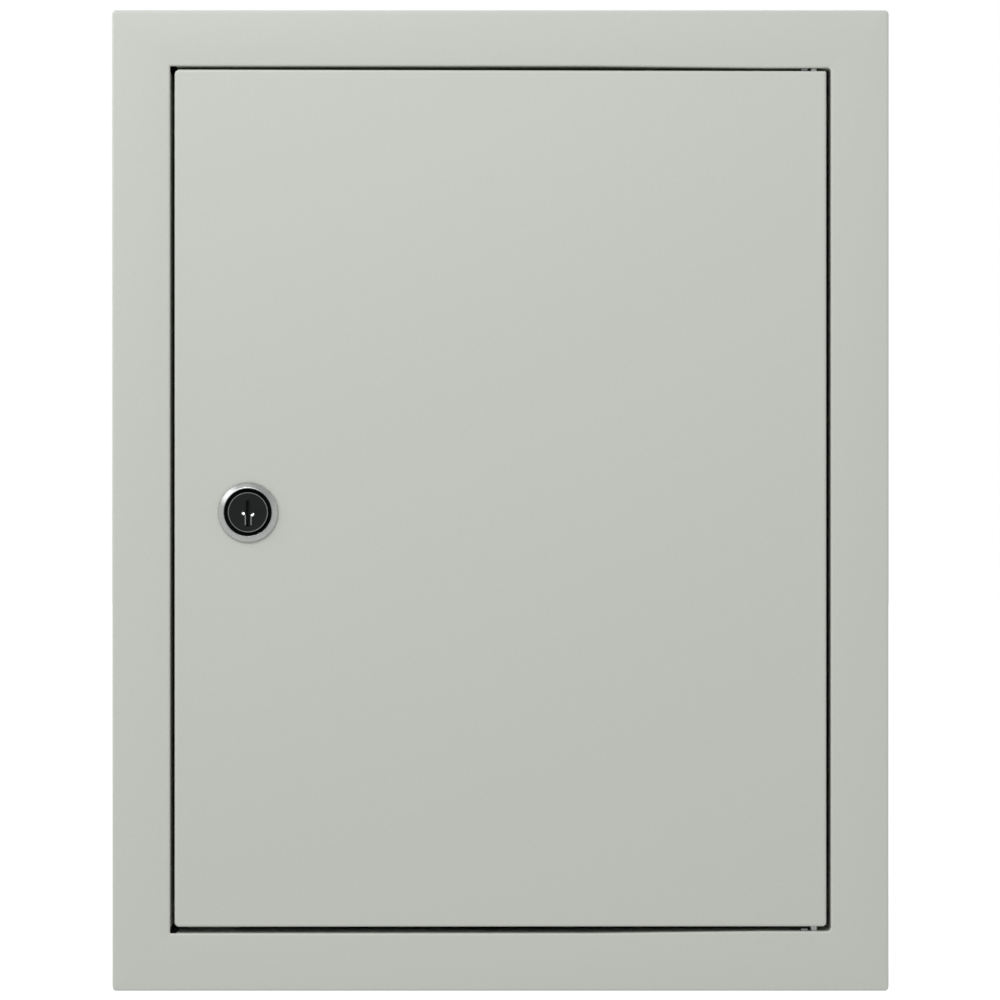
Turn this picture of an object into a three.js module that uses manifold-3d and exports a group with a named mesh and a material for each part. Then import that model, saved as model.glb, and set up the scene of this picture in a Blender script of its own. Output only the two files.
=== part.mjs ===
// Flush-mounted fire alarm control panel: a sheet-steel backbox that goes into the wall, a trim
// frame with a lockable flush door, and the boards, supply and batteries behind the door.
//
// Millimetres, +Z up. The origin is the centre of the backbox's rear face. +Y points into the
// wall and the door faces -Y. Depths called "deep" are measured back from the face of the trim.

import * as THREE from "three";
import { mergeVertices } from "three/addons/utils/BufferGeometryUtils.js";
import Module from "manifold-3d";

const wasm = await Module();
wasm.setup();

// ---------------------------------------------------------------- driving dimensions

const GAP = 0.3; // clearance kept between separate pieces that touch
const DEPTH = 120; // rear face of the box to the face of the trim
const FRONT = -DEPTH;
const SHEET = 1.2;

const TRIM = { width: 340, height: 429.4, bend: 1.3, corner: 1.8, rim: 12, collar: 24 };
const RELIEF = 2.6; // a round notch in the collar's left corners, where its flanges are folded
// The gaps above and below the door narrow towards the hinges: the opening's edges draw in between
// the two shoulders, and the door is a little taller at the lock. Corner radii run top right, top
// left, bottom left, bottom right.
const OPENING = {
  left: -144.6,
  right: 144.6,
  topLeft: 190.2,
  topRight: 189.4,
  bottomLeft: -189.4,
  bottomRight: -188.5,
  corners: [1.6, 0.4, 0.4, 1.6],
};
const SHOULDERS = { left: 40, right: 115 };
const DOOR = {
  left: -142.7,
  right: 142.7,
  topLeft: 188.8,
  topRight: 188.1,
  bottomLeft: -186.6,
  bottomRight: -186.4,
  bend: 1.3,
  corners: [0.8, 2.3, 2, 1.8],
  depth: 14,
};
const BOX = { width: 314, height: 403, rim: 13, bend: 2, endFlange: 8.5 };

const HINGE = { x: 137.4, deep: 4.2, pin: 1.8, reach: 5 };
const LOCK = { x: -110.4, z: -5.1, bezel: 13.1, barrel: 9.8, flat: 8.9, length: 24.1, cam: 41 };
const GUSSET = { leg: 30, sheet: 1.5, notch: 6.5 };
const TRIM_SCREW = { x: 134.6, top: 179.8, bottom: -178.8 };
const BRACKET = { deep: 34, sheet: 1.5, half: 10 };
const EARTH = { doorX: 118, doorZ: -110, boxDeep: 40, boxZ: -92, stud: 2.5 };

const CHASSIS = { width: 286, bottom: -92, top: 188, rear: -8, sheet: 1.5, flange: 8, studX: 130 };
const BOARD = { width: 250, bottom: 36, top: 186, front: -24.1, thick: 1.6, holeInset: 6 };
const DISPLAY = { width: 224, bottom: 81, top: 183, face: -66, wall: 2, depth: 12, board: -51.9 };
const PSU = { left: -141, right: -12, bottom: -88, top: 10, height: 37.5, bay: 15 };
const BATTERY = { width: 151, depth: 65, height: 94, inset: 1.6, rear: -3, tab: 6 };
const RAIL = { left: 12, right: 140, z: -40, width: 35, depth: 7.5 };

const BATTERY_BOTTOM = -BOX.height / 2 + SHEET + GAP;
const BATTERY_TOP = BATTERY_BOTTOM + BATTERY.height;
const BATTERY_FRONT = BATTERY.rear - BATTERY.depth;

// ---------------------------------------------------------------- materials

const finish = (color, roughness, metalness) =>
  new THREE.MeshStandardMaterial({ color, roughness, metalness });

const MATERIAL = {
  paint: finish(0xc3c6bf, 0.5, 0),
  zinc: finish(0xb9bcbd, 0.35, 1),
  steel: finish(0x9a9c9e, 0.4, 1),
  chrome: finish(0xd6d8da, 0.18, 1),
  blackChrome: finish(0x1c1d1c, 0.2, 0.6),
  rubber: finish(0x1a1a1a, 0.8, 0),
  circuitBoard: finish(0x0f4a2c, 0.45, 0),
  greenPlastic: finish(0x2f8a4c, 0.5, 0),
  blackPlastic: finish(0x202224, 0.5, 0),
  greyPlastic: finish(0x8d9296, 0.55, 0),
  fascia: finish(0x3a4046, 0.55, 0),
  glass: finish(0x9db37a, 0.15, 0),
  redPlastic: finish(0xb3201c, 0.4, 0),
  yellowPlastic: finish(0xd8a51c, 0.4, 0),
  battery: finish(0x3a3d42, 0.55, 0),
  redWire: finish(0xb01e1a, 0.4, 0),
  blackWire: finish(0x161616, 0.4, 0),
  blueWire: finish(0x1d4fa0, 0.4, 0),
  brownWire: finish(0x5a3217, 0.4, 0),
  earthWire: finish(0x7fb22a, 0.4, 0),
  greyWire: finish(0xa7a9ab, 0.5, 0),
};

// ---------------------------------------------------------------- solids

// A closed mesh as a manifold-3d solid, whichever way its faces were wound.
function solidOf(geometry) {
  const bare = new THREE.BufferGeometry().setAttribute("position", geometry.getAttribute("position").clone());
  if (geometry.index) bare.setIndex(geometry.index.clone());
  const merged = mergeVertices(bare, 1e-4);
  const corners = merged.attributes.position;
  const faces = new Uint32Array(merged.index.array);
  const [a, b, c] = [new THREE.Vector3(), new THREE.Vector3(), new THREE.Vector3()];
  let volume = 0;
  for (let i = 0; i < faces.length; i += 3) {
    a.fromBufferAttribute(corners, faces[i]);
    b.fromBufferAttribute(corners, faces[i + 1]);
    c.fromBufferAttribute(corners, faces[i + 2]);
    volume += a.dot(b.cross(c));
  }
  if (volume < 0)
    for (let i = 0; i < faces.length; i += 3) [faces[i + 1], faces[i + 2]] = [faces[i + 2], faces[i + 1]];
  const mesh = new wasm.Mesh({ numProp: 3, vertProperties: corners.array, triVerts: faces });
  return new wasm.Manifold(mesh);
}

function geometryOf(solid) {
  const mesh = solid.getMesh();
  const places = new Float32Array(mesh.numVert * 3);
  for (let i = 0; i < mesh.numVert; i++)
    for (let k = 0; k < 3; k++) places[3 * i + k] = mesh.vertProperties[i * mesh.numProp + k];
  const geometry = new THREE.BufferGeometry();
  geometry.setAttribute("position", new THREE.BufferAttribute(places, 3));
  geometry.setIndex(new THREE.BufferAttribute(mesh.triVerts, 1));
  geometry.computeVertexNormals();
  return geometry;
}

const join = (...pieces) => geometryOf(pieces.map(solidOf).reduce((all, piece) => all.add(piece)));
const cut = (base, ...tools) =>
  geometryOf(tools.map(solidOf).reduce((left, tool) => left.subtract(tool), solidOf(base)));

// ---------------------------------------------------------------- simple shapes

const block = (x0, x1, y0, y1, z0, z1) =>
  new THREE.BoxGeometry(x1 - x0, y1 - y0, z1 - z0).translate((x0 + x1) / 2, (y0 + y1) / 2, (z0 + z1) / 2);

// A round bar along Y, Z or X.
const rodY = (radius, y0, y1, sides = 16) =>
  new THREE.CylinderGeometry(radius, radius, y1 - y0, sides).translate(0, (y0 + y1) / 2, 0);
const rodZ = (radius, z0, z1, sides = 16) => rodY(radius, z0, z1, sides).rotateX(Math.PI / 2);
const rodX = (radius, x0, x1, sides = 16) => rodY(radius, x0, x1, sides).rotateZ(-Math.PI / 2);

// A solid of revolution about Y from [radius, y] pairs. The profile starts and ends on the axis,
// or else it is closed on itself.
function turned(profile, sides = 32) {
  const points = profile.map(([radius, y]) => new THREE.Vector2(radius, y));
  if (profile[0][0] > 0) points.push(points[0].clone());
  return new THREE.LatheGeometry(points, sides);
}

function polygon(points) {
  return new THREE.Shape(points.map(([u, v]) => new THREE.Vector2(u, v)));
}

function roundedRect(width, height, radius, u = 0, v = 0) {
  const [w, h] = [width / 2, height / 2];
  const shape = new THREE.Shape();
  shape.absarc(u + w - radius, v + h - radius, radius, 0, Math.PI / 2);
  shape.absarc(u - w + radius, v + h - radius, radius, Math.PI / 2, Math.PI);
  shape.absarc(u - w + radius, v - h + radius, radius, Math.PI, 1.5 * Math.PI);
  shape.absarc(u + w - radius, v - h + radius, radius, 1.5 * Math.PI, 2 * Math.PI);
  return shape;
}

const hexagon = (acrossFlats) =>
  polygon(
    Array.from({ length: 6 }, (_, i) => {
      const angle = (i * Math.PI) / 3;
      const corner = acrossFlats / Math.sqrt(3);
      return [corner * Math.cos(angle), corner * Math.sin(angle)];
    }),
  );

const circle = (radius, u = 0, v = 0) => new THREE.Path().absarc(u, v, radius, 0, 2 * Math.PI);

function withHoles(shape, ...holes) {
  shape.holes.push(...holes);
  return shape;
}

const extruded = (shape, length, curveSegments = 6) =>
  new THREE.ExtrudeGeometry(shape, { depth: length, bevelEnabled: false, curveSegments });

// A shape drawn in X and Z, running back in Y from y0 to y1.
const upright = (shape, y0, y1, curveSegments) =>
  extruded(shape, y1 - y0, curveSegments)
    .rotateX(Math.PI / 2)
    .translate(0, y1, 0);

// A shape drawn in Y and Z, running in X from x0 to x1.
const AXES_YZX = new THREE.Matrix4().makeBasis(
  new THREE.Vector3(0, 1, 0),
  new THREE.Vector3(0, 0, 1),
  new THREE.Vector3(1, 0, 0),
);
const sideways = (shape, x0, x1) => extruded(shape, x1 - x0).applyMatrix4(AXES_YZX).translate(x0, 0, 0);

// ---------------------------------------------------------------- folded sheet

const CORNER_STEPS = 3;
const BEND_STEPS = 3;

const grown = (rect, by) => ({
  left: rect.left - by,
  right: rect.right + by,
  topLeft: rect.topLeft + by,
  topRight: rect.topRight + by,
  bottomLeft: rect.bottomLeft - by,
  bottomRight: rect.bottomRight - by,
});

const centredRect = (width, height) => ({
  left: -width / 2,
  right: width / 2,
  topLeft: height / 2,
  topRight: height / 2,
  bottomLeft: -height / 2,
  bottomRight: -height / 2,
});

// One turn of points round a rectangle with rounded corners, at depth y. With shoulders, its top
// and bottom edges keep their left-hand height up to the first and have the right-hand one past
// the second.
function loop(rect, radii, y, shoulders) {
  const corner = (edgeX, edgeZ, quarter) => {
    const radius = radii[quarter];
    const x = quarter % 3 ? edgeX + radius : edgeX - radius;
    const z = quarter < 2 ? edgeZ - radius : edgeZ + radius;
    return Array.from({ length: CORNER_STEPS + 1 }, (_, i) => {
      const angle = ((quarter + i / CORNER_STEPS) * Math.PI) / 2;
      return new THREE.Vector3(x + radius * Math.cos(angle), y, z + radius * Math.sin(angle));
    });
  };
  const along = (...places) => (shoulders ? places.map(([x, z]) => new THREE.Vector3(x, y, z)) : []);
  return [
    ...corner(rect.right, rect.topRight, 0),
    ...along([shoulders?.right, rect.topRight], [shoulders?.left, rect.topLeft]),
    ...corner(rect.left, rect.topLeft, 1),
    ...corner(rect.left, rect.bottomLeft, 2),
    ...along([shoulders?.left, rect.bottomLeft], [shoulders?.right, rect.bottomRight]),
    ...corner(rect.right, rect.bottomRight, 3),
  ];
}

// The skin through a row of loops. A ring's last loop meets its first, and any other is capped.
function skin(loops, isRing) {
  const count = loops[0].length;
  const faces = [];
  const last = isRing ? loops.length : loops.length - 1;
  for (let k = 0; k < last; k++) {
    const [here, next] = [k * count, ((k + 1) % loops.length) * count];
    for (let i = 0; i < count; i++) {
      const j = (i + 1) % count;
      faces.push(here + i, here + j, next + j, here + i, next + j, next + i);
    }
  }
  if (!isRing)
    for (let i = 1; i < count - 1; i++) {
      const end = (loops.length - 1) * count;
      faces.push(0, i + 1, i, end, end + i, end + i + 1);
    }
  const geometry = new THREE.BufferGeometry().setFromPoints(loops.flat());
  return geometry.setIndex(faces);
}

// The steps of a quarter bend, from along the flange to along the face: how far in and how far down.
const bendSteps = (radius) =>
  Array.from({ length: BEND_STEPS + 1 }, (_, i) => {
    const angle = (i * Math.PI) / 2 / BEND_STEPS;
    return { inward: radius * (1 - Math.cos(angle)), down: radius * (1 - Math.sin(angle)) };
  });

// Corner radii, each less by an inward step.
const tighter = (radii, by) => radii.map((radius) => Math.max(radius - by, 0.2));

// A flat face at y = 0 with flanges folded back to y = depth on all four sides.
function pan(rect, { depth, bend, corners, sheet = SHEET }) {
  const inner = bend - sheet;
  const outside = [{ inward: 0, down: depth }, ...bendSteps(bend)];
  const inside = [...bendSteps(inner).reverse(), { inward: 0, down: depth - sheet }];
  const at = (inward, y) => loop(grown(rect, -inward), tighter(corners, inward), y);
  return skin(
    [
      ...outside.reverse().map(({ inward, down }) => at(inward, down)),
      ...inside.reverse().map(({ inward, down }) => at(sheet + inward, sheet + down)),
    ],
    false,
  );
}

// A U-shaped sheet drawn in X and Y and running in Z: a back with its rear face at y = 0 and two
// sides folded forward.
function channel(width, flange, length, { bend = BOX.bend, sheet = SHEET } = {}) {
  const half = width / 2;
  const shape = new THREE.Shape();
  shape.moveTo(-half, -flange);
  shape.lineTo(-half, -bend);
  shape.absarc(-half + bend, -bend, bend, Math.PI, Math.PI / 2, true);
  shape.absarc(half - bend, -bend, bend, Math.PI / 2, 0, true);
  shape.lineTo(half, -flange);
  shape.lineTo(half - sheet, -flange);
  shape.absarc(half - bend, -bend, bend - sheet, 0, Math.PI / 2);
  shape.absarc(-half + bend, -bend, bend - sheet, Math.PI / 2, Math.PI);
  shape.lineTo(-half + sheet, -flange);
  return extruded(shape, length, BEND_STEPS);
}

// The scored ring of a round knockout, as the tool that presses it into a face at y = 0.
const knockout = (radius) =>
  turned(
    [
      [radius - 0.6, -0.5],
      [radius, -0.5],
      [radius, 1],
      [radius - 0.6, 1],
    ],
    16,
  );

// ---------------------------------------------------------------- placing

const panel = new THREE.Group();

function group(parent, x = 0, y = 0, z = 0) {
  const made = new THREE.Group();
  made.position.set(x, y, z);
  parent.add(made);
  return made;
}

function add(parent, name, geometry, material, x = 0, y = 0, z = 0) {
  const mesh = new THREE.Mesh(geometryOf(solidOf(geometry)), material);
  mesh.name = name;
  mesh.position.set(x, y, z);
  parent.add(mesh);
  return mesh;
}

const SIDES = [
  ["left", -1],
  ["right", 1],
];
const ENDS = [
  ["top", 1],
  ["bottom", -1],
];

// ---------------------------------------------------------------- backbox

const box = group(panel);
const screwX = TRIM_SCREW.x;
const screwZ = (way) => (way > 0 ? TRIM_SCREW.top : TRIM_SCREW.bottom);
const boxWall = BOX.width / 2 - SHEET;

function backbox() {
  const fold = channel(BOX.width, DEPTH - BOX.rim, BOX.height).translate(0, 0, -BOX.height / 2);
  const bracketFront = FRONT + BRACKET.deep;
  const brackets = SIDES.flatMap(([, x]) =>
    ENDS.map(([, z]) => {
      const [near, far] = [x * (screwX - BRACKET.half), x * (boxWall + SHEET / 2)];
      const [low, high] = [screwZ(z) - BRACKET.half, screwZ(z) + BRACKET.half];
      const [y0, y1] = [bracketFront, bracketFront + BRACKET.sheet];
      return block(Math.min(near, far), Math.max(near, far), y0, y1, low, high);
    }),
  );
  const chassisStuds = SIDES.flatMap(([, x]) =>
    [CHASSIS.bottom + 12, CHASSIS.top - 12].map((z) =>
      rodY(EARTH.stud, -18, -SHEET / 2, 12).translate(x * CHASSIS.studX, 0, z),
    ),
  );
  const earthStud = rodX(EARTH.stud, 144, boxWall + SHEET / 2, 12).translate(0, FRONT + EARTH.boxDeep, EARTH.boxZ);
  const threads = SIDES.flatMap(([, x]) =>
    ENDS.map(([, z]) =>
      rodY(2.7, bracketFront - 1, bracketFront + BRACKET.sheet + 1, 12).translate(x * screwX, 0, screwZ(z)),
    ),
  );
  const wallHoles = SIDES.flatMap(([, x]) => [-165, 120].map((z) => rodY(3.25, -5, 5, 16).translate(x * 105, 0, z)));
  const rearKnockouts = [-60, 0, 60].map((x) => knockout(14).translate(x, 0, 165));
  const sideKnockouts = SIDES.flatMap(([, x]) =>
    [-60, 60].map((z) =>
      knockout(10.3)
        .rotateZ(-x * (Math.PI / 2))
        .translate((x * BOX.width) / 2, -55, z),
    ),
  );
  const tools = [...threads, ...wallHoles, ...rearKnockouts, ...sideKnockouts];
  return cut(join(fold, ...brackets, ...chassisStuds, earthStud), ...tools);
}

// The end plates are pans that sit between the box's sides, with their flanges turned inwards.
const CABLE_ENTRIES = [-120, -60, 0, 60, 120];
const GROMMETS = { left: -60, right: 60 };
const ENTRY_DEEP = 65;
const ENTRY_HOLE = 10.3;

function endPlate(openEntries) {
  const [rear, front] = [-SHEET - GAP, -(DEPTH - BOX.rim)];
  const halfWidth = boxWall - GAP;
  const ends = { topLeft: rear, topRight: rear, bottomLeft: front, bottomRight: front };
  const plate = pan(
    { left: -halfWidth, right: halfWidth, ...ends },
    { depth: BOX.endFlange, bend: 1.8, corners: Array(4).fill(1.6) },
  );
  const tools = CABLE_ENTRIES.map((x) => {
    const tool = openEntries.includes(x) ? rodY(ENTRY_HOLE, -2, 4, 24) : knockout(ENTRY_HOLE);
    return tool.rotateX(Math.PI).translate(x, 0, FRONT + ENTRY_DEEP);
  });
  return cut(plate, ...tools);
}

add(box, "backbox", backbox(), MATERIAL.zinc);
for (const [end, way] of ENDS) {
  const plate = endPlate(end === "top" ? Object.values(GROMMETS) : []);
  const mesh = add(box, `${end}_plate`, plate, MATERIAL.zinc, 0, 0, (way * BOX.height) / 2);
  mesh.rotation.x = -Math.PI / 2;
  mesh.scale.y = way;
}

const grommet = () =>
  turned(
    [
      [6.5, -3.2],
      [12.6, -3.2],
      [13.4, -2.2],
      [13.4, -0.3],
      [10, -0.3],
      [10, 1.5],
      [12.6, 1.5],
      [12.6, 3.4],
      [8, 4.4],
      [6.5, 4.4],
    ],
    24,
  ).rotateX(-Math.PI / 2);
for (const [side, x] of Object.entries(GROMMETS))
  add(box, `cable_grommet_${side}`, grommet(), MATERIAL.rubber, x, FRONT + ENTRY_DEEP, BOX.height / 2);

// ---------------------------------------------------------------- trim frame and its screws

const trim = group(panel);

function hingeHoles() {
  return ENDS.map(([, way]) => {
    const wall = way > 0 ? OPENING.topRight : OPENING.bottomRight;
    const hole = rodZ(HINGE.pin + GAP, wall - 4, wall + 4);
    return hole.translate(HINGE.x, FRONT + HINGE.deep, 0);
  });
}

// A tongue on each hinge lug comes through the collar beside the pin and stops the lug turning.
const TONGUE = { left: 131.8, right: 134.6, front: 2.6, rear: 6.8, show: 0.9 };

function tongueSlots() {
  return ENDS.map(([, way]) => {
    const wall = way > 0 ? OPENING.topRight : OPENING.bottomRight;
    const [y0, y1] = [FRONT + TONGUE.front - GAP, FRONT + TONGUE.rear + GAP];
    return block(TONGUE.left - GAP, TONGUE.right + GAP, y0, y1, wall - 2, wall + 2);
  });
}

function trimFrame() {
  const outer = centredRect(TRIM.width, TRIM.height);
  const inner = TRIM.bend - SHEET;
  const rim = (inward, y) =>
    loop(grown(outer, -inward), tighter(Array(4).fill(TRIM.corner), inward), FRONT + y, SHOULDERS);
  const collar = (outward, y) =>
    loop(grown(OPENING, outward), tighter(OPENING.corners, -outward), FRONT + y, SHOULDERS);
  const outside = bendSteps(TRIM.bend);
  const inside = bendSteps(inner);
  const ring = skin(
    [
      rim(0, TRIM.rim),
      ...outside.map(({ inward, down }) => rim(inward, down)),
      ...outside.toReversed().map(({ inward, down }) => collar(inward, down)),
      collar(0, TRIM.collar),
      collar(SHEET, TRIM.collar),
      ...inside.map(({ inward, down }) => collar(SHEET + inward, SHEET + down)),
      ...inside.toReversed().map(({ inward, down }) => rim(SHEET + inward, SHEET + down)),
      rim(SHEET, TRIM.rim),
    ],
    true,
  );
  const gussets = SIDES.flatMap(([, x]) =>
    ENDS.map(([, z]) => {
      const [top, bottom] =
        x > 0 ? [OPENING.topRight, OPENING.bottomRight] : [OPENING.topLeft, OPENING.bottomLeft];
      const cornerX = x * (OPENING.right + SHEET / 2);
      const cornerZ = (z > 0 ? top : bottom) + (z * SHEET) / 2;
      const triangle = polygon([
        [cornerX, cornerZ],
        [cornerX - x * GUSSET.leg, cornerZ],
        [cornerX, cornerZ - z * GUSSET.leg],
      ]);
      const [front, rear] = [FRONT + TRIM.collar - GUSSET.sheet, FRONT + TRIM.collar];
      const notch = rodY(GUSSET.notch, front - 1, rear + 1, 20).translate(cornerX, 0, cornerZ);
      return cut(upright(triangle, front, rear), notch);
    }),
  );
  const screwHoles = SIDES.flatMap(([, x]) =>
    ENDS.map(([, z]) => rodY(3, FRONT + 20, FRONT + 26, 16).translate(x * screwX, 0, screwZ(z))),
  );
  const reliefs = [OPENING.topLeft, OPENING.bottomLeft].map((z) => {
    const notch = rodY(RELIEF, FRONT + 0.9, FRONT + TRIM.collar + 1, 16);
    return notch.translate(OPENING.left, 0, z);
  });
  return cut(
    join(ring, ...gussets),
    ...screwHoles,
    ...hingeHoles(),
    ...tongueSlots(),
    ...reliefs,
  );
}

const crossRecess = (size, width, y0, y1) => [
  block(-size, size, y0, y1, -width / 2, width / 2),
  block(-width / 2, width / 2, y0, y1, -size, size),
];

// A pan-head screw lying along Y, its head's bearing face at y = 0 and its shank running back.
function screw({ head, thick, shank, length, sides = 16 }) {
  const body = turned(
    [
      [0, -thick],
      [head * 0.6, -thick],
      [head * 0.95, -thick * 0.6],
      [head, -thick * 0.2],
      [head, 0],
      [shank, 0],
      [shank, length - 0.8],
      [shank - 0.8, length],
      [0, length],
    ],
    sides,
  );
  return cut(body, ...crossRecess(head * 0.55, head * 0.22, -thick - 1, -thick * 0.35));
}

add(trim, "trim_frame", trimFrame(), MATERIAL.paint);
const gussetFront = FRONT + TRIM.collar - GUSSET.sheet;
for (const [end, z] of ENDS)
  for (const [side, x] of SIDES) {
    const made = screw({ head: 4.6, thick: 2.7, shank: 2.4, length: 18 });
    add(trim, `trim_screw_${end}_${side}`, made, MATERIAL.zinc, x * screwX, gussetFront - GAP, screwZ(z));
  }

// Rubber buffers on the lock-side gussets are what the door comes to rest against.
const buffer = () =>
  turned(
    [
      [0, 0],
      [2.2, 0],
      [3, 0.9],
      [3, 7.9],
      [0, 7.9],
    ],
    16,
  );
for (const [end, z] of [
  ["upper", 168],
  ["lower", -167],
])
  add(trim, `${end}_door_buffer`, buffer(), MATERIAL.rubber, -140.8, FRONT + DOOR.depth + GAP, z);

// ---------------------------------------------------------------- hinges

const hinges = group(panel, 0, FRONT, 0);

for (const [end, way] of [
  ["upper", 1],
  ["lower", -1],
]) {
  const wall = way > 0 ? OPENING.topRight : -OPENING.bottomRight;
  const seat = wall + SHEET + GAP + 0.1;
  const lugTop = seat + 4;
  const hinge = group(hinges);
  hinge.scale.z = way;
  const lug = cut(
    join(
      block(130, 143, 2.1, 10, seat, lugTop),
      block(TONGUE.left, TONGUE.right, TONGUE.front, TONGUE.rear, wall - TONGUE.show, seat + 1),
    ),
    rodZ(HINGE.pin + GAP, seat - 4, lugTop + 4).translate(HINGE.x, HINGE.deep, 0),
  );
  add(hinge, `${end}_hinge_lug`, lug, MATERIAL.zinc);
  const doorEdge = way > 0 ? DOOR.topRight : -DOOR.bottomRight;
  const pin = turned([
    [0, lugTop + 2.3],
    [2, lugTop + 2.3],
    [2.6, lugTop + 1.7],
    [2.6, lugTop + GAP],
    [HINGE.pin, lugTop + GAP],
    [HINGE.pin, doorEdge - SHEET - HINGE.reach + 0.8],
    [HINGE.pin - 0.8, doorEdge - SHEET - HINGE.reach],
    [0, doorEdge - SHEET - HINGE.reach],
  ], 20).rotateX(Math.PI / 2);
  add(hinge, `${end}_hinge_pin`, pin, MATERIAL.zinc, HINGE.x, HINGE.deep, 0);
}

// ---------------------------------------------------------------- door

const door = group(panel, 0, FRONT, 0);

// The hole for the lock's flatted barrel.
function doubleD(radius, flat) {
  const angle = Math.acos(flat / radius);
  const shape = new THREE.Shape();
  shape.absarc(0, 0, radius, angle, Math.PI - angle);
  shape.absarc(0, 0, radius, Math.PI + angle, 2 * Math.PI - angle);
  return shape;
}

function doorPanel() {
  const folded = pan(DOOR, DOOR);
  const earthStud = rodY(EARTH.stud, SHEET / 2, 12, 12).translate(EARTH.doorX, 0, EARTH.doorZ);
  const pinHoles = [DOOR.topRight, DOOR.bottomRight].map((z) =>
    rodZ(HINGE.pin + GAP, z - 3, z + 3).translate(HINGE.x, HINGE.deep, 0),
  );
  const lockHole = upright(doubleD(LOCK.barrel + GAP, LOCK.flat + GAP), -1, 3, 12);
  return cut(join(folded, earthStud), ...pinHoles, lockHole.translate(LOCK.x, 0, LOCK.z));
}

const nut = (acrossFlats, hole, y1, curveSegments = 6) =>
  upright(withHoles(hexagon(acrossFlats), circle(hole)), 0, y1, curveSegments);

add(door, "door_panel", doorPanel(), MATERIAL.paint);
add(door, "door_earth_nut", nut(8, EARTH.stud + GAP, 4), MATERIAL.steel, EARTH.doorX, 4.2, EARTH.doorZ);

// ---------------------------------------------------------------- lock
// Each piece is drawn with the lock's axis along Y and the door's face at y = 0.

const lock = group(door, LOCK.x, 0, LOCK.z);
const PLUG = { face: 8.9, core: 6.5, seat: 0.6, tail: 7 };

function lockBody() {
  const body = turned(
    [
      [PLUG.core + GAP, PLUG.seat + GAP],
      [PLUG.face + GAP, PLUG.seat + GAP],
      [PLUG.face + GAP, -0.6],
      [10.3, -0.6],
      [10.3, -2.4],
      [10.6, -2.6],
      [11, -2.6],
      [LOCK.bezel, -1],
      [LOCK.bezel, -GAP],
      [LOCK.barrel, -GAP],
      [LOCK.barrel, LOCK.length],
      [PLUG.core + GAP, LOCK.length],
    ],
    40,
  );
  const leftFlat = block(-12, -LOCK.flat, 0, LOCK.length + 1, -12, 12);
  const rightFlat = block(LOCK.flat, 12, 0, LOCK.length + 1, -12, 12);
  return cut(body, leftFlat, rightFlat);
}

function lockPlug() {
  const dish = [
    [0, -1.55],
    [3, -1.63],
    [5.6, -1.75],
    [7.6, -1.95],
    [8.3, -2.2],
    [PLUG.face, -1.9],
  ];
  const core = [
    [PLUG.face, PLUG.seat],
    [PLUG.core, PLUG.seat],
    [PLUG.core, LOCK.length],
    [0, LOCK.length],
  ];
  const half = PLUG.tail / 2;
  const tail = block(-half, half, LOCK.length - 1, LOCK.length + 2.8, -half, half);
  const keyway = block(-0.85, 0.85, -4, 9, -6.2, 5.3);
  const thread = rodY(2, 17, 40, 12);
  return cut(join(turned([...dish, ...core], 36), tail), keyway, thread);
}

function lockCam() {
  const half = 8;
  const outline = new THREE.Shape();
  outline.absarc(0, 0, half, 0, Math.PI);
  outline.lineTo(-half, -LOCK.cam + 3);
  outline.lineTo(-half + 3, -LOCK.cam);
  outline.lineTo(half - 3, -LOCK.cam);
  outline.lineTo(half, -LOCK.cam + 3);
  const hole = PLUG.tail / 2 + GAP;
  const square = [
    [-hole, -hole],
    [-hole, hole],
    [hole, hole],
    [hole, -hole],
  ];
  return upright(withHoles(outline, polygon(square)), 0, 2, 8);
}

add(lock, "lock_body", lockBody(), MATERIAL.chrome);
add(lock, "lock_nut", nut(26, LOCK.barrel + GAP, 4, 16), MATERIAL.zinc, 0, SHEET + GAP, 0);
add(lock, "lock_plug", lockPlug(), MATERIAL.blackChrome);
add(lock, "lock_cam", lockCam(), MATERIAL.zinc, 0, LOCK.length + GAP, 0);
const camScrew = screw({ head: 5.5, thick: 2.4, shank: 1.7, length: 8 }).rotateX(Math.PI);
add(lock, "cam_screw", camScrew, MATERIAL.zinc, 0, LOCK.length + 2.8 + GAP, 0);

// ---------------------------------------------------------------- chassis

const inside = group(panel);
const studZ = [CHASSIS.bottom + 12, CHASSIS.top - 12];
const boardHoles = SIDES.flatMap(([, x]) =>
  [BOARD.bottom + BOARD.holeInset, BOARD.top - BOARD.holeInset].map((z) => [
    x * (BOARD.width / 2 - BOARD.holeInset),
    z,
  ]),
);
const boardRear = BOARD.front + BOARD.thick;

function chassisPlate() {
  const plate = channel(CHASSIS.width, CHASSIS.flange, CHASSIS.top - CHASSIS.bottom, { sheet: CHASSIS.sheet });
  const front = -CHASSIS.sheet;
  const posts = boardHoles.map(([x, z]) =>
    rodY(3, boardRear + GAP - CHASSIS.rear, front + 0.5, 12).translate(x, 0, z - CHASSIS.bottom),
  );
  const studHoles = SIDES.flatMap(([, x]) =>
    studZ.map((z) => rodY(EARTH.stud + GAP, -4, 2, 12).translate(x * CHASSIS.studX, 0, z - CHASSIS.bottom)),
  );
  return cut(join(plate, ...posts), ...studHoles);
}

add(inside, "chassis_plate", chassisPlate(), MATERIAL.zinc, 0, CHASSIS.rear, CHASSIS.bottom);

// ---------------------------------------------------------------- main board

const TERMINALS = { inner: 6, outer: 112, height: 12, depth: 16, pitch: 5.3 };

function boardPlate(width, height, holes, radius) {
  return withHoles(roundedRect(width, height, 2), ...holes.map(([x, z]) => circle(radius, x, z)));
}

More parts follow.
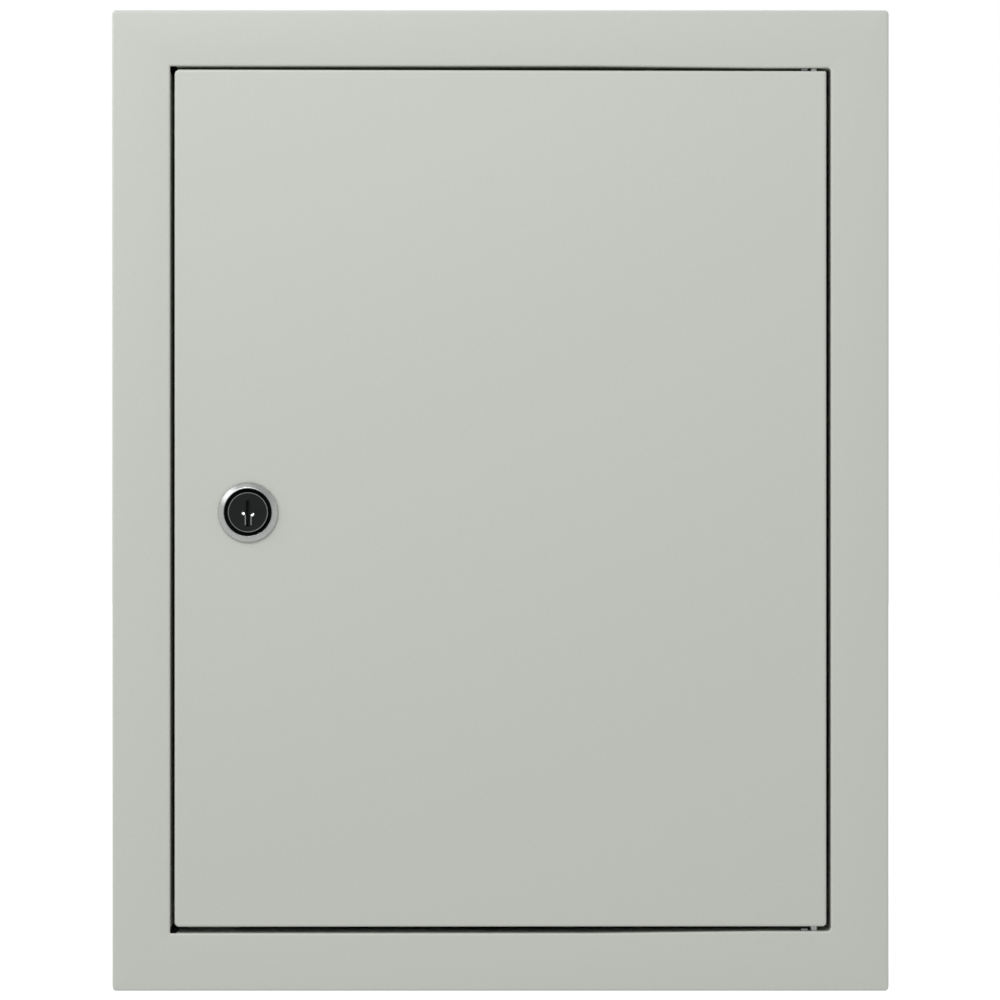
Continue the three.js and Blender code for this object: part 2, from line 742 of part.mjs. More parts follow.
const boardMiddle = (BOARD.bottom + BOARD.top) / 2;
const boardShape = boardPlate(
  BOARD.width,
  BOARD.top - BOARD.bottom,
  boardHoles.map(([x, z]) => [x, z - boardMiddle]),
  1.8,
);
add(
  inside,
  "main_board",
  upright(boardShape, 0, BOARD.thick, 3),
  MATERIAL.circuitBoard,
  0,
  BOARD.front,
  boardMiddle,
);

// A strip of rising-clamp terminals, wired from below.
function terminalStrip() {
  const { inner, outer, height, depth, pitch } = TERMINALS;
  const section = polygon([
    [0, 0],
    [-depth * 0.62, 0],
    [-depth, height * 0.45],
    [-depth, height * 0.75],
    [-depth * 0.8, height],
    [0, height],
  ]);
  const strip = sideways(section, 0, outer - inner);
  const ways = Array.from({ length: 20 }, (_, i) => {
    const x = (i + 0.5) * pitch;
    return block(x - 1.9, x + 1.9, -7.6, -3.6, -1, 6);
  });
  return cut(strip, ...ways);
}

const terminalRear = BOARD.front - GAP;
const terminalBottom = BOARD.bottom + 1;
for (const [side, x] of [
  ["left", -TERMINALS.outer],
  ["right", TERMINALS.inner],
])
  add(inside, `field_terminals_${side}`, terminalStrip(), MATERIAL.greenPlastic, x, terminalRear, terminalBottom);

const sounder = turned(
  [
    [0, 0],
    [11, 0],
    [11, -8.6],
    [10.2, -9.5],
    [1.5, -9.5],
    [1.5, -5],
    [0, -5],
  ],
  24,
);
add(inside, "buzzer", sounder, MATERIAL.blackPlastic, 96, terminalRear, 66);

// ---------------------------------------------------------------- display and controls

const display = group(inside, 0, DISPLAY.face, 0);
const displayBoardRear = DISPLAY.board + 1.6;
const pillarX = 100;
const pillarZ = [92, 172];
const LCD = { x: -40, z: 146, width: 80, height: 28 };
const BUTTONS = ["silence", "reset", "evacuate", "test"].map((name, i) => ({ name, x: -88 + 27 * i }));
const BUTTON = { z: 101, width: 16, height: 11, proud: 2.4 };
const KEY_SWITCH = { x: 82, z: 103, bezel: 10, barrel: 7.7, plug: 5.3 };

for (const [level, z] of [
  ["upper", pillarZ[1]],
  ["lower", pillarZ[0]],
])
  for (const [side, x] of SIDES) {
    const pillar = upright(hexagon(7), displayBoardRear + GAP, terminalRear);
    add(inside, `${level}_${side}_pillar`, pillar, MATERIAL.steel, x * pillarX, 0, z);
  }

const displayBoard = upright(roundedRect(212, 90, 2), 0, 1.6, 3);
add(inside, "display_board", displayBoard, MATERIAL.circuitBoard, 0, DISPLAY.board, 132);

function displayFascia() {
  const rect = centredRect(DISPLAY.width, DISPLAY.top - DISPLAY.bottom);
  const shell = pan(rect, {
    depth: DISPLAY.depth,
    bend: 2.6,
    corners: Array(4).fill(4),
    sheet: DISPLAY.wall,
  });
  const middle = (DISPLAY.top + DISPLAY.bottom) / 2;
  const window = upright(roundedRect(LCD.width, LCD.height, 1.5), -1, 4, 3).translate(LCD.x, 0, LCD.z - middle);
  const [width, height] = [BUTTON.width + 2 * GAP + 0.2, BUTTON.height + 2 * GAP + 0.2];
  const buttonHoles = BUTTONS.map(({ x }) =>
    upright(roundedRect(width, height, 1.5), -1, 4, 3).translate(x, 0, BUTTON.z - middle),
  );
  const keyHole = rodY(KEY_SWITCH.barrel + GAP, -1, 4, 24).translate(KEY_SWITCH.x, 0, KEY_SWITCH.z - middle);
  return cut(shell, window, ...buttonHoles, keyHole);
}

add(display, "display_fascia", displayFascia(), MATERIAL.fascia, 0, 0, (DISPLAY.top + DISPLAY.bottom) / 2);

const lcdScreen = join(
  upright(roundedRect(88, 36, 1), DISPLAY.wall + GAP, DISPLAY.wall + 6, 2),
  upright(roundedRect(LCD.width - 1, LCD.height - 1, 1), 0.7, DISPLAY.wall + 1, 2),
);
add(display, "lcd_screen", lcdScreen, MATERIAL.glass, LCD.x, 0, LCD.z);

function pushButton() {
  const cap = upright(roundedRect(BUTTON.width, BUTTON.height, 1.3), -BUTTON.proud, 3, 3);
  const flange = upright(roundedRect(BUTTON.width + 4, BUTTON.height + 4, 1.3), DISPLAY.wall + 0.6, 4, 3);
  const stem = rodY(2, 3.5, 11.5, 12);
  return join(cap, flange, stem);
}

const buttonMaterials = [MATERIAL.greyPlastic, MATERIAL.greyPlastic, MATERIAL.redPlastic, MATERIAL.yellowPlastic];
BUTTONS.forEach(({ name, x }, i) =>
  add(display, `${name}_button`, pushButton(), buttonMaterials[i], x, 0, BUTTON.z),
);

const keySwitch = group(display, KEY_SWITCH.x, 0, KEY_SWITCH.z);
const keySwitchBody = turned(
  [
    [KEY_SWITCH.plug + GAP, -2.4],
    [8.6, -2.4],
    [KEY_SWITCH.bezel, -1.2],
    [KEY_SWITCH.bezel, -GAP],
    [KEY_SWITCH.barrel, -GAP],
    [KEY_SWITCH.barrel, 12],
    [KEY_SWITCH.plug + GAP, 12],
  ],
  24,
);
const keySwitchPlug = cut(
  turned(
    [
      [0, -1.8],
      [4.5, -1.8],
      [KEY_SWITCH.plug, -1.2],
      [KEY_SWITCH.plug, 11.6],
      [0, 11.6],
    ],
    24,
  ),
  block(-0.8, 0.8, -3, 5, -3.4, 3.4),
);
add(keySwitch, "key_switch_body", keySwitchBody, MATERIAL.chrome);
add(keySwitch, "key_switch_plug", keySwitchPlug, MATERIAL.steel);

// ---------------------------------------------------------------- power supply

const psuWidth = PSU.right - PSU.left;
const psuHeight = PSU.top - PSU.bottom;
const chassisFront = CHASSIS.rear - CHASSIS.sheet;
const psuFront = chassisFront - GAP - PSU.height;

function psuCase() {
  const rect = centredRect(psuWidth, psuHeight);
  const shell = pan(rect, { depth: PSU.height, bend: 2, corners: Array(4).fill(1.6) });
  const half = psuWidth / 2;
  return cut(shell, block(half - PSU.bay, half + 2, -1, 25, -psuHeight / 2 + 5, psuHeight / 2 - 5));
}

const psuX = (PSU.left + PSU.right) / 2;
const psuZ = (PSU.top + PSU.bottom) / 2;
add(inside, "psu_case", psuCase(), MATERIAL.zinc, psuX, psuFront, psuZ);

// A barrier strip in the supply's open bay: a wall between each pair of screws.
const STRIP = { width: 11, ways: 8, pitch: 9.5, base: 7, barrier: 12 };
const stripLength = STRIP.ways * STRIP.pitch + 1.6;
const barriers = Array.from({ length: STRIP.ways + 1 }, (_, i) => {
  const z = -stripLength / 2 + i * STRIP.pitch;
  return block(-STRIP.width / 2, STRIP.width / 2, -STRIP.barrier, 0, z, z + 1.6);
});
const psuTerminals = join(
  block(-STRIP.width / 2, STRIP.width / 2, -STRIP.base, 0, -stripLength / 2, stripLength / 2),
  ...barriers,
);
const stripX = PSU.right - PSU.bay / 2 - 0.5;
const stripRear = psuFront + 24;
add(inside, "psu_terminals", psuTerminals, MATERIAL.blackPlastic, stripX, stripRear, psuZ);

// ---------------------------------------------------------------- mains terminals on a rail

const railRear = chassisFront - GAP;

function topHatRail() {
  const [half, neck, thick] = [RAIL.width / 2, 13.5, 1];
  const section = polygon([
    [0, -neck],
    [0, neck],
    [-RAIL.depth + thick, neck],
    [-RAIL.depth + thick, half],
    [-RAIL.depth, half],
    [-RAIL.depth, neck - thick],
    [-thick, neck - thick],
    [-thick, -neck + thick],
    [-RAIL.depth, -neck + thick],
    [-RAIL.depth, -half],
    [-RAIL.depth + thick, -half],
    [-RAIL.depth + thick, -neck],
  ]);
  return sideways(section, 0, RAIL.right - RAIL.left);
}

add(inside, "din_rail", topHatRail(), MATERIAL.zinc, RAIL.left, railRear, RAIL.z);

const terminalFoot = railRear - RAIL.depth - GAP;
const TERMINAL_BLOCKS = { left: 30, pitch: 6.2, count: 5, half: 21, depth: 40 };
const terminalWay = (i) => TERMINAL_BLOCKS.left + (i + 0.5) * TERMINAL_BLOCKS.pitch;

function mainsTerminals() {
  const { half, depth, pitch, count } = TERMINAL_BLOCKS;
  const section = polygon([
    [0, -half],
    [-depth * 0.55, -half],
    [-depth * 0.75, -half * 0.7],
    [-depth * 0.75, -half * 0.35],
    [-depth, -half * 0.3],
    [-depth, half * 0.3],
    [-depth * 0.75, half * 0.35],
    [-depth * 0.75, half * 0.7],
    [-depth * 0.55, half],
    [0, half],
  ]);
  const body = sideways(section, 0, pitch * count);
  const entries = Array.from({ length: count }, (_, i) => {
    const x = terminalWay(i) - TERMINAL_BLOCKS.left;
    return [-1, 1].map((way) => rodZ(1.9, -8, 8, 8).translate(x, -depth * 0.3, way * half));
  });
  return cut(body, ...entries.flat());
}

add(
  inside,
  "mains_terminals",
  mainsTerminals(),
  MATERIAL.greyPlastic,
  TERMINAL_BLOCKS.left,
  terminalFoot,
  RAIL.z,
);

// The fuse carrier is a lever that hinges at its foot and swings out of the holder.
const FUSE = { left: 66, width: 12, half: 26, depth: 38, pivotIn: 5, slot: 8, lever: 7.2 };

function fuseHolder() {
  const { width, half, depth, slot, pivotIn } = FUSE;
  const body = block(0, width, -depth, 0, -half, half);
  const mouth = block((width - slot) / 2, (width + slot) / 2, -depth - 1, -depth + 15, -half - 1, half - 6);
  const pivot = rodX(1.3, 0.8, width - 0.8, 12).translate(0, -depth + pivotIn, -half + pivotIn);
  return join(cut(body, mouth), pivot);
}

// Drawn about its pivot: y and z are zero on the pivot's axis.
function fuseLever() {
  const { lever, half, pivotIn } = FUSE;
  const reach = 2 * half - 6 - pivotIn - 1.5;
  const outline = new THREE.Shape();
  outline.absarc(0, 0, 3.6, Math.PI, 2 * Math.PI);
  outline.lineTo(3.6, reach);
  outline.lineTo(-8, reach + 0.5);
  outline.lineTo(-8, reach - 6);
  outline.lineTo(-4.6, reach - 9);
  outline.lineTo(-4.6, 4);
  const arm = sideways(withHoles(outline, circle(1.3 + GAP)), -lever / 2, lever / 2);
  const cartridgeSeat = block(-2.6, 2.6, 0, 6, 8, reach - 8);
  return cut(arm, cartridgeSeat);
}

add(inside, "fuse_holder", fuseHolder(), MATERIAL.blackPlastic, FUSE.left, terminalFoot, RAIL.z);
add(
  inside,
  "fuse_lever",
  fuseLever(),
  MATERIAL.greyPlastic,
  FUSE.left + FUSE.width / 2,
  terminalFoot - FUSE.depth + FUSE.pivotIn,
  RAIL.z - FUSE.half + FUSE.pivotIn,
);

// ---------------------------------------------------------------- batteries

function battery() {
  const [half, top] = [BATTERY.width / 2, BATTERY.height];
  const middle = BATTERY.depth / 2;
  const base = extruded(roundedRect(BATTERY.width, BATTERY.depth, 2), top - 9, 2);
  const lid = extruded(roundedRect(BATTERY.width - 0.8, BATTERY.depth - 0.8, 2), 10, 2).translate(0, 0, top - 10);
  const tabs = SIDES.map(([, x]) =>
    block(x * (half - 9) - 2.4, x * (half - 9) + 2.4, -middle + 7.6, -middle + 8.4, top - 1, top + BATTERY.tab),
  );
  return join(base, lid, ...tabs);
}

const batteryMiddle = BATTERY.rear - BATTERY.depth / 2;
const batteryX = BATTERY.width / 2 + BATTERY.inset / 2;
for (const [side, x] of SIDES)
  add(inside, `battery_${side}`, battery(), MATERIAL.battery, x * batteryX, batteryMiddle, BATTERY_BOTTOM);

// A channel laid across the front of both batteries, its ends against the box's sides.
const STRAP = { height: 22, bottom: -142, flange: 14, sheet: 1.5 };
const strap = channel(2 * (boxWall - 0.5), STRAP.flange, STRAP.height, { sheet: STRAP.sheet });
add(inside, "battery_bracket", strap, MATERIAL.zinc, 0, BATTERY_FRONT - GAP, STRAP.bottom);

// ---------------------------------------------------------------- leads

// A lead along hand-placed points, as an eight-sided tube.
function lead(points, diameter) {
  const path = new THREE.CatmullRomCurve3(points.map(([x, y, z]) => new THREE.Vector3(x, y, z)));
  const steps = Math.min(60, Math.ceil(path.getLength() / (2.5 * diameter)));
  const sides = 8;
  const section = polygon(
    Array.from({ length: sides }, (_, i) => {
      const angle = (2 * Math.PI * i) / sides;
      return [(diameter / 2) * Math.cos(angle), (diameter / 2) * Math.sin(angle)];
    }),
  );
  return new THREE.ExtrudeGeometry(section, { steps, extrudePath: path, bevelEnabled: false });
}

const wiring = group(panel);
const tabX = batteryX + BATTERY.width / 2 - 9;
const innerTabX = batteryX - BATTERY.width / 2 + 9;
const tabY = batteryMiddle - BATTERY.depth / 2 + 8;
const tabZ = BATTERY_TOP + BATTERY.tab + GAP;
const entryZ = terminalBottom - GAP;
const entryY = terminalRear - 5.6;
const terminalX = (way, i) => (way < 0 ? -TERMINALS.outer : TERMINALS.inner) + (i + 0.5) * TERMINALS.pitch;

const LEADS = {
  battery_link: {
    diameter: 3.2,
    material: MATERIAL.blackWire,
    points: [
      [-innerTabX, tabY, tabZ],
      [-innerTabX + 0.5, tabY - 0.5, tabZ + 9],
      [0, tabY - 1.5, tabZ + 15],
      [innerTabX - 0.5, tabY - 0.5, tabZ + 9],
      [innerTabX, tabY, tabZ],
    ],
  },
  battery_lead_positive: {
    diameter: 3.2,
    material: MATERIAL.redWire,
    points: [
      [-tabX, tabY, tabZ],
      [-tabX - 1, tabY, -82],
      [-148.5, -52, -55],
      [-149, -42, -10],
      [-146, -34, 16],
      [-130, -30, 24],
      [terminalX(-1, 1) - 3, -29.8, 27],
      [terminalX(-1, 1), entryY, entryZ],
    ],
  },
  battery_lead_negative: {
    diameter: 3.2,
    material: MATERIAL.blackWire,
    points: [
      [tabX, tabY, tabZ],
      [tabX + 1, tabY, -82],
      [148.5, -52, -55],
      [149, -42, -10],
      [146, -34, 16],
      [130, -30, 24],
      [terminalX(1, 18) + 3, -29.8, 27],
      [terminalX(1, 18), entryY, entryZ],
    ],
  },
  psu_lead_positive: {
    diameter: 2.6,
    material: MATERIAL.redWire,
    points: [
      [stripX - 0.5, stripRear - STRIP.base - GAP, psuZ + 33],
      [stripX, stripRear - 14, psuZ + 34],
      [stripX - 2, stripRear - 26, psuZ + 41],
      [stripX - 11, -50, 12],
      [stripX - 30, -38, 19.5],
      [terminalX(-1, 5) + 3, -31, 25],
      [terminalX(-1, 5), entryY, entryZ],
    ],
  },
  psu_lead_negative: {
    diameter: 2.6,
    material: MATERIAL.blackWire,
    points: [
      [stripX - 0.5, stripRear - STRIP.base - GAP, psuZ + 23.5],
      [stripX + 1, stripRear - 14, psuZ + 25],
      [stripX + 4, stripRear - 26, psuZ + 36],
      [stripX, -51, 10],
      [stripX - 8, -47, 20],
      [stripX - 24, -37, 27],
      [terminalX(-1, 7) + 3, -31, 30],
      [terminalX(-1, 7), entryY, entryZ],
    ],
  },
  mains_lead_live: {
    diameter: 2.6,
    material: MATERIAL.brownWire,
    points: [
      [terminalWay(3), terminalFoot - 12, RAIL.z - 21.6],
      [terminalWay(3) - 1, terminalFoot - 14, RAIL.z - 34],
      [24, -38, -84],
      [6, -48, -82],
      [stripX + 3, stripRear - 22, psuZ - 35],
      [stripX, stripRear - 13, psuZ - 33.5],
      [stripX - 0.5, stripRear - STRIP.base - GAP, psuZ - 33],
    ],
  },
  mains_lead_neutral: {
    diameter: 2.6,
    material: MATERIAL.blueWire,
    points: [
      [terminalWay(2), terminalFoot - 12, RAIL.z - 21.6],
      [terminalWay(2) - 1.5, terminalFoot - 14, RAIL.z - 30],
      [22, -40, -75],
      [8, -50, -72],
      [stripX + 4, stripRear - 22, psuZ - 24],
      [stripX, stripRear - 13, psuZ - 23.8],
      [stripX - 0.5, stripRear - STRIP.base - GAP, psuZ - 23.5],
    ],
  },
  earth_lead: {
    diameter: 4,
    material: MATERIAL.earthWire,
    points: [
      [EARTH.doorX, FRONT + 4, EARTH.doorZ - 6],
      [EARTH.doorX + 0.5, FRONT + 6.5, EARTH.doorZ - 14],
      [EARTH.doorX + 4, FRONT + 14, EARTH.doorZ - 24],
      [EARTH.doorX + 10, FRONT + 22, EARTH.doorZ - 29],
      [EARTH.doorX + 17, FRONT + 30, EARTH.doorZ - 26],
      [EARTH.doorX + 24, FRONT + 36, EARTH.doorZ - 13],
      [147, FRONT + 39, EARTH.boxZ - 16],
      [148, FRONT + EARTH.boxDeep, EARTH.boxZ - 6.5],
    ],
  },
};

for (const [name, { points, diameter, material }] of Object.entries(LEADS))
  add(wiring, name, lead(points, diameter), material);

const boxEarthNut = extruded(withHoles(hexagon(8), circle(EARTH.stud + GAP)), 4).rotateY(Math.PI / 2);
add(wiring, "box_earth_nut", boxEarthNut, MATERIAL.steel, 146, FRONT + EARTH.boxDeep, EARTH.boxZ);

// A flat ribbon that drops from the display board to the main board in one easy S.
function ribbonCable() {
  const middle = new THREE.CubicBezierCurve(
    new THREE.Vector2(displayBoardRear + GAP, 104),
    new THREE.Vector2(displayBoardRear + 14, 104),
    new THREE.Vector2(terminalRear - 14, 76),
    new THREE.Vector2(terminalRear, 76),
  );
  const points = middle.getPoints(12);
  const half = 0.6;
  const edge = [...points.map((p) => [p.x, p.y + half]), ...points.toReversed().map((p) => [p.x, p.y - half])];
  return sideways(polygon(edge), -66, -40);
}
add(wiring, "ribbon_cable", ribbonCable(), MATERIAL.greyWire);

export default panel;
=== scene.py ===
"""Flush fire alarm control panel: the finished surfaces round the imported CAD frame.

Lengths are in millimetres, in the CAD's frame, until a mesh is made: x right, y into the wall, z up.
"""

import math
import random
from itertools import product

import bmesh
import bpy
from mathutils import Matrix, Vector

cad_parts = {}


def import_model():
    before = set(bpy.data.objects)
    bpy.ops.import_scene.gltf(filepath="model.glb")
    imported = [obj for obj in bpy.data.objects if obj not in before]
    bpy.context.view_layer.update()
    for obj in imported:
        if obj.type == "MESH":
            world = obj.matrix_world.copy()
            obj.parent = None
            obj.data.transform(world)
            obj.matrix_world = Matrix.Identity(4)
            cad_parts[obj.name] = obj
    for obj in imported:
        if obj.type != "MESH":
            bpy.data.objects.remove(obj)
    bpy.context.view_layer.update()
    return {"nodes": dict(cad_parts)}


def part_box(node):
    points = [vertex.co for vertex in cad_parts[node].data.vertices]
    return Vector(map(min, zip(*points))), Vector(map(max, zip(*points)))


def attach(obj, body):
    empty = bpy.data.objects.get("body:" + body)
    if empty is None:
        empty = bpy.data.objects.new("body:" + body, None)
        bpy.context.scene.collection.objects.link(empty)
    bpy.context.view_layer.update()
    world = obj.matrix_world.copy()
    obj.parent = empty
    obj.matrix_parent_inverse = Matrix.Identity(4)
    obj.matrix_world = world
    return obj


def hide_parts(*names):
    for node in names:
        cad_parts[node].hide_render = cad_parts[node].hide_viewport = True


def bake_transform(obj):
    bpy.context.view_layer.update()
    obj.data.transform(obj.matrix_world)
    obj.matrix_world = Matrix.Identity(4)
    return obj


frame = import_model()

MM = 0.001
FRONT = -120.0
SHEET = 1.2
TAU = 2 * math.pi
rng = random.Random(7)

TRIM = {"x": 170.0, "z": 214.7, "bend": 1.3, "collar_bend": 1.0, "corner": 1.8, "rim": 12.0, "collar": 24.0}
OPENING = {"left": -144.6, "right": 144.6, "top_left": 190.2, "top_right": 189.4}
OPENING |= {"bottom_left": -189.4, "bottom_right": -188.5}
SHOULDERS = (40.0, 115.0)
OPENING_CORNERS = [1.6, 0.4, 0.4, 1.6]
DOOR = {"left": -142.7, "right": 142.7, "top_left": 188.8, "top_right": 188.1}
DOOR |= {"bottom_left": -186.6, "bottom_right": -186.4}
DOOR_BEND, DOOR_CORNERS, DOOR_DEPTH = 1.3, [0.8, 2.3, 2.0, 1.8], 14.0
HINGE = (137.4, -115.8)
LOCK = (-110.4, FRONT, -5.1)
SCREW_X, SCREW_TOP, SCREW_BOTTOM = 134.6, 179.8, -178.8


# ---------------------------------------------------------------- materials


def srgb(hex_colour):
    """A linear RGBA colour from six hexadecimal digits."""
    parts = [int(hex_colour[i : i + 2], 16) / 255 for i in (0, 2, 4)]
    return (*[c / 12.92 if c <= 0.04045 else ((c + 0.055) / 1.055) ** 2.4 for c in parts], 1.0)


def scaled(colour, k):
    return (*[min(c * k, 1.0) for c in colour[:3]], 1.0)


class Surface:
    """A material whose nodes are added one at a time. Texture sizes are wavelengths in millimetres."""

    def __init__(self, name, colour, roughness, metallic=0.0, **sockets):
        self.material = bpy.data.materials.new(name)
        self.material.use_nodes = True
        self.tree = self.material.node_tree
        self.shader = self.tree.nodes["Principled BSDF"]
        self.colour = srgb(colour) if isinstance(colour, str) else colour
        self.shader.inputs["Base Color"].default_value = self.colour
        self.shader.inputs["Roughness"].default_value = roughness
        self.shader.inputs["Metallic"].default_value = metallic
        self.material.diffuse_color = self.colour
        for socket, value in sockets.items():
            self.shader.inputs[socket.replace("_", " ")].default_value = value
        self.place = self.node("ShaderNodeTexCoord").outputs["Object"]
        self.height = None

    def node(self, kind, inputs=(), **settings):
        made = self.tree.nodes.new(kind)
        for key, value in settings.items():
            setattr(made, key, value)
        for socket, value in dict(inputs).items():
            if isinstance(value, bpy.types.NodeSocket):
                self.tree.links.new(value, made.inputs[socket])
            else:
                made.inputs[socket].default_value = value
        return made

    def link(self, output, socket):
        self.tree.links.new(output, self.shader.inputs[socket])

    def noise(self, wavelength, detail=2.0, rough=0.5):
        inputs = {"Vector": self.place, "Scale": 1 / (wavelength * MM), "Detail": detail, "Roughness": rough}
        return self.node("ShaderNodeTexNoise", inputs).outputs["Fac"]

    def cells(self, wavelength):
        inputs = {"Vector": self.place, "Scale": 1 / (wavelength * MM)}
        return self.node("ShaderNodeTexVoronoi", inputs).outputs["Distance"]

    def bricks(self, width, height, gap, **settings):
        """Rows of rectangles facing forwards. The factor is one in the gaps between them."""
        turned = self.node("ShaderNodeMapping", {"Vector": self.place, "Rotation": (math.pi / 2, 0, 0)})
        inputs = {"Vector": turned.outputs[0], "Scale": 1.0, "Brick Width": width * MM}
        inputs |= {"Row Height": height * MM, "Mortar Size": gap * MM}
        return self.node("ShaderNodeTexBrick", inputs, **settings).outputs["Fac"]

    def spread(self, factor, low, high, start=0.3, end=0.7):
        inputs = {"Value": factor, "From Min": start, "From Max": end, "To Min": low, "To Max": high}
        return self.node("ShaderNodeMapRange", inputs).outputs["Result"]

    def mottle(self, factor, low, high, start=0.3, end=0.7):
        """The base colour times a value from low to high, as factor goes from start to end."""
        mix = self.node("ShaderNodeMix", {"Factor": self.spread(factor, 0, 1, start, end)}, data_type="RGBA")
        mix.inputs["A"].default_value = scaled(self.colour, low)
        mix.inputs["B"].default_value = scaled(self.colour, high)
        self.link(mix.outputs["Result"], "Base Color")

    def roughen(self, factor, low, high):
        self.link(self.spread(factor, low, high), "Roughness")

    def bump(self, factor, depth):
        """Adds a relief of that depth in millimetres to the ones already there."""
        inputs = {"Height": factor, "Distance": depth * MM, "Strength": 1.0}
        if self.height is not None:
            inputs["Normal"] = self.height
        self.height = self.node("ShaderNodeBump", inputs).outputs["Normal"]
        self.link(self.height, "Normal")


def powder_coat():
    s = Surface("grey_powder_coat", (0.567, 0.583, 0.539, 1.0), 0.42)
    s.mottle(s.noise(0.45, detail=3, rough=0.7), 0.97, 1.03)
    s.roughen(s.noise(3.0, detail=3), 0.36, 0.46)
    s.bump(s.noise(1.7, detail=1.0), 0.045)
    s.bump(s.noise(0.5, detail=2.0), 0.01)
    return s.material


def zinc_plate():
    s = Surface("zinc_plate", "b4b7b8", 0.36, 1.0)
    s.mottle(s.cells(7.0), 1.06, 0.9, 0.1, 0.7)
    s.roughen(s.noise(4.0, detail=4, rough=0.6), 0.28, 0.46)
    s.bump(s.noise(0.6, detail=2), 0.004)
    return s.material


def turned_metal(name, colour, low, high):
    s = Surface(name, colour, (low + high) / 2, 1.0)
    s.roughen(s.noise(1.2, detail=4, rough=0.6), low, high)
    s.mottle(s.noise(5.0, detail=2), 0.94, 1.04)
    s.bump(s.noise(0.35, detail=2), 0.002)
    return s.material


def moulded(name, colour, roughness=0.5, grain=0.35, relief=0.012, spread=0.06, **sockets):
    s = Surface(name, colour, roughness, **sockets)
    s.mottle(s.noise(6.0, detail=4, rough=0.6), 1 - spread, 1 + spread)
    s.roughen(s.noise(1.5, detail=3), roughness - 0.05, roughness + 0.06)
    s.bump(s.noise(grain, detail=2), relief)
    return s.material


def circuit_board():
    s = Surface("circuit_board", "0c4a2b", 0.35)
    tracks = s.bricks(9, 1.6, 0.35, offset=0.37, squash=0.6, squash_frequency=3)
    s.mottle(tracks, 1.0, 1.75, 0.0, 1.0)
    s.bump(tracks, 0.02)
    s.roughen(s.noise(2.0), 0.3, 0.42)
    return s.material


def display_glass():
    glow = {"Emission_Color": srgb("a9c46c"), "Emission_Strength": 0.25}
    s = Surface("display_glass", "8fa86a", 0.12, Coat_Weight=0.6, Coat_Roughness=0.05, **glow)
    s.mottle(s.bricks(3.6, 5.6, 0.35, offset=0.0, squash=1.0), 0.86, 1.0, 0.0, 1.0)
    return s.material


MAT = {
    "paint": powder_coat(),
    "zinc": zinc_plate(),
    "steel": turned_metal("bare_steel", "a0a2a4", 0.3, 0.42),
    "chrome": turned_metal("satin_chrome", "cfd0d0", 0.2, 0.28),
    "nickel": turned_metal("satin_nickel", "b9bbb9", 0.24, 0.34),
    "dull_steel": turned_metal("dull_steel", "8d8f8f", 0.38, 0.5),
    "tin": turned_metal("tinned_copper", "c9c8c2", 0.25, 0.4),
    "gold": turned_metal("gold_contact", "d9b45a", 0.25, 0.35),
    "black_chrome": turned_metal("black_chrome", "333434", 0.16, 0.28),
    # Near-black with little sheen: painted shade, over black plastic in the lock's recess and on its own in
    # the battery's seam.
    "void_black": moulded("void_black", "060606", 0.85, spread=0.02, Specular_IOR_Level=0.15),
    "rubber": moulded("black_rubber", "1b1b1b", 0.72, grain=0.5, relief=0.02),
    "board": circuit_board(),
    "terminal_green": moulded("terminal_green", "2c8247", 0.45),
    "black": moulded("black_plastic", "1d1f21", 0.45),
    "chip": moulded("chip_epoxy", "16171a", 0.55, grain=0.2),
    "grey": moulded("grey_plastic", "8a8f93", 0.5),
    "light_grey": moulded("light_grey_plastic", "b9bcbc", 0.5),
    "fascia": moulded("fascia_plastic", "34393e", 0.55, grain=0.5, relief=0.025),
    "overlay": moulded("overlay_film", "c9ccc8", 0.42, grain=0.25, spread=0.02),
    "paper": moulded("paper_label", "dfe0db", 0.75, grain=0.4, spread=0.02),
    "glass": display_glass(),
    "red": moulded("red_plastic", "b3201c", 0.35),
    "yellow": moulded("yellow_plastic", "d8a51c", 0.35),
    "green": moulded("green_plastic", "2a8f46", 0.35),
    "blue": moulded("blue_plastic", "2c5fa8", 0.4),
    "white": moulded("white_plastic", "d8d9d4", 0.45),
    "battery": moulded("battery_case", "3a3d42", 0.5, grain=0.8, relief=0.03),
    "battery_lid": moulded("battery_lid", "2c2e32", 0.5, grain=0.8, relief=0.03),
    "orange": moulded("copper_enamel", "a5572a", 0.3),
    "red_wire": moulded("red_wire", "b01e1a", 0.35, spread=0.03),
    "black_wire": moulded("black_wire", "1a1a1a", 0.35, spread=0.03),
    "blue_wire": moulded("blue_wire", "1d4fa0", 0.35, spread=0.03),
    "brown_wire": moulded("brown_wire", "5a3217", 0.35, spread=0.03),
    "grey_wire": moulded("grey_wire", "a9abac", 0.45, spread=0.03),
    "green_wire": moulded("green_wire", "3f9a2f", 0.35, spread=0.03),
    "yellow_wire": moulded("yellow_wire", "d9c522", 0.35, spread=0.03),
}


# ---------------------------------------------------------------- making meshes


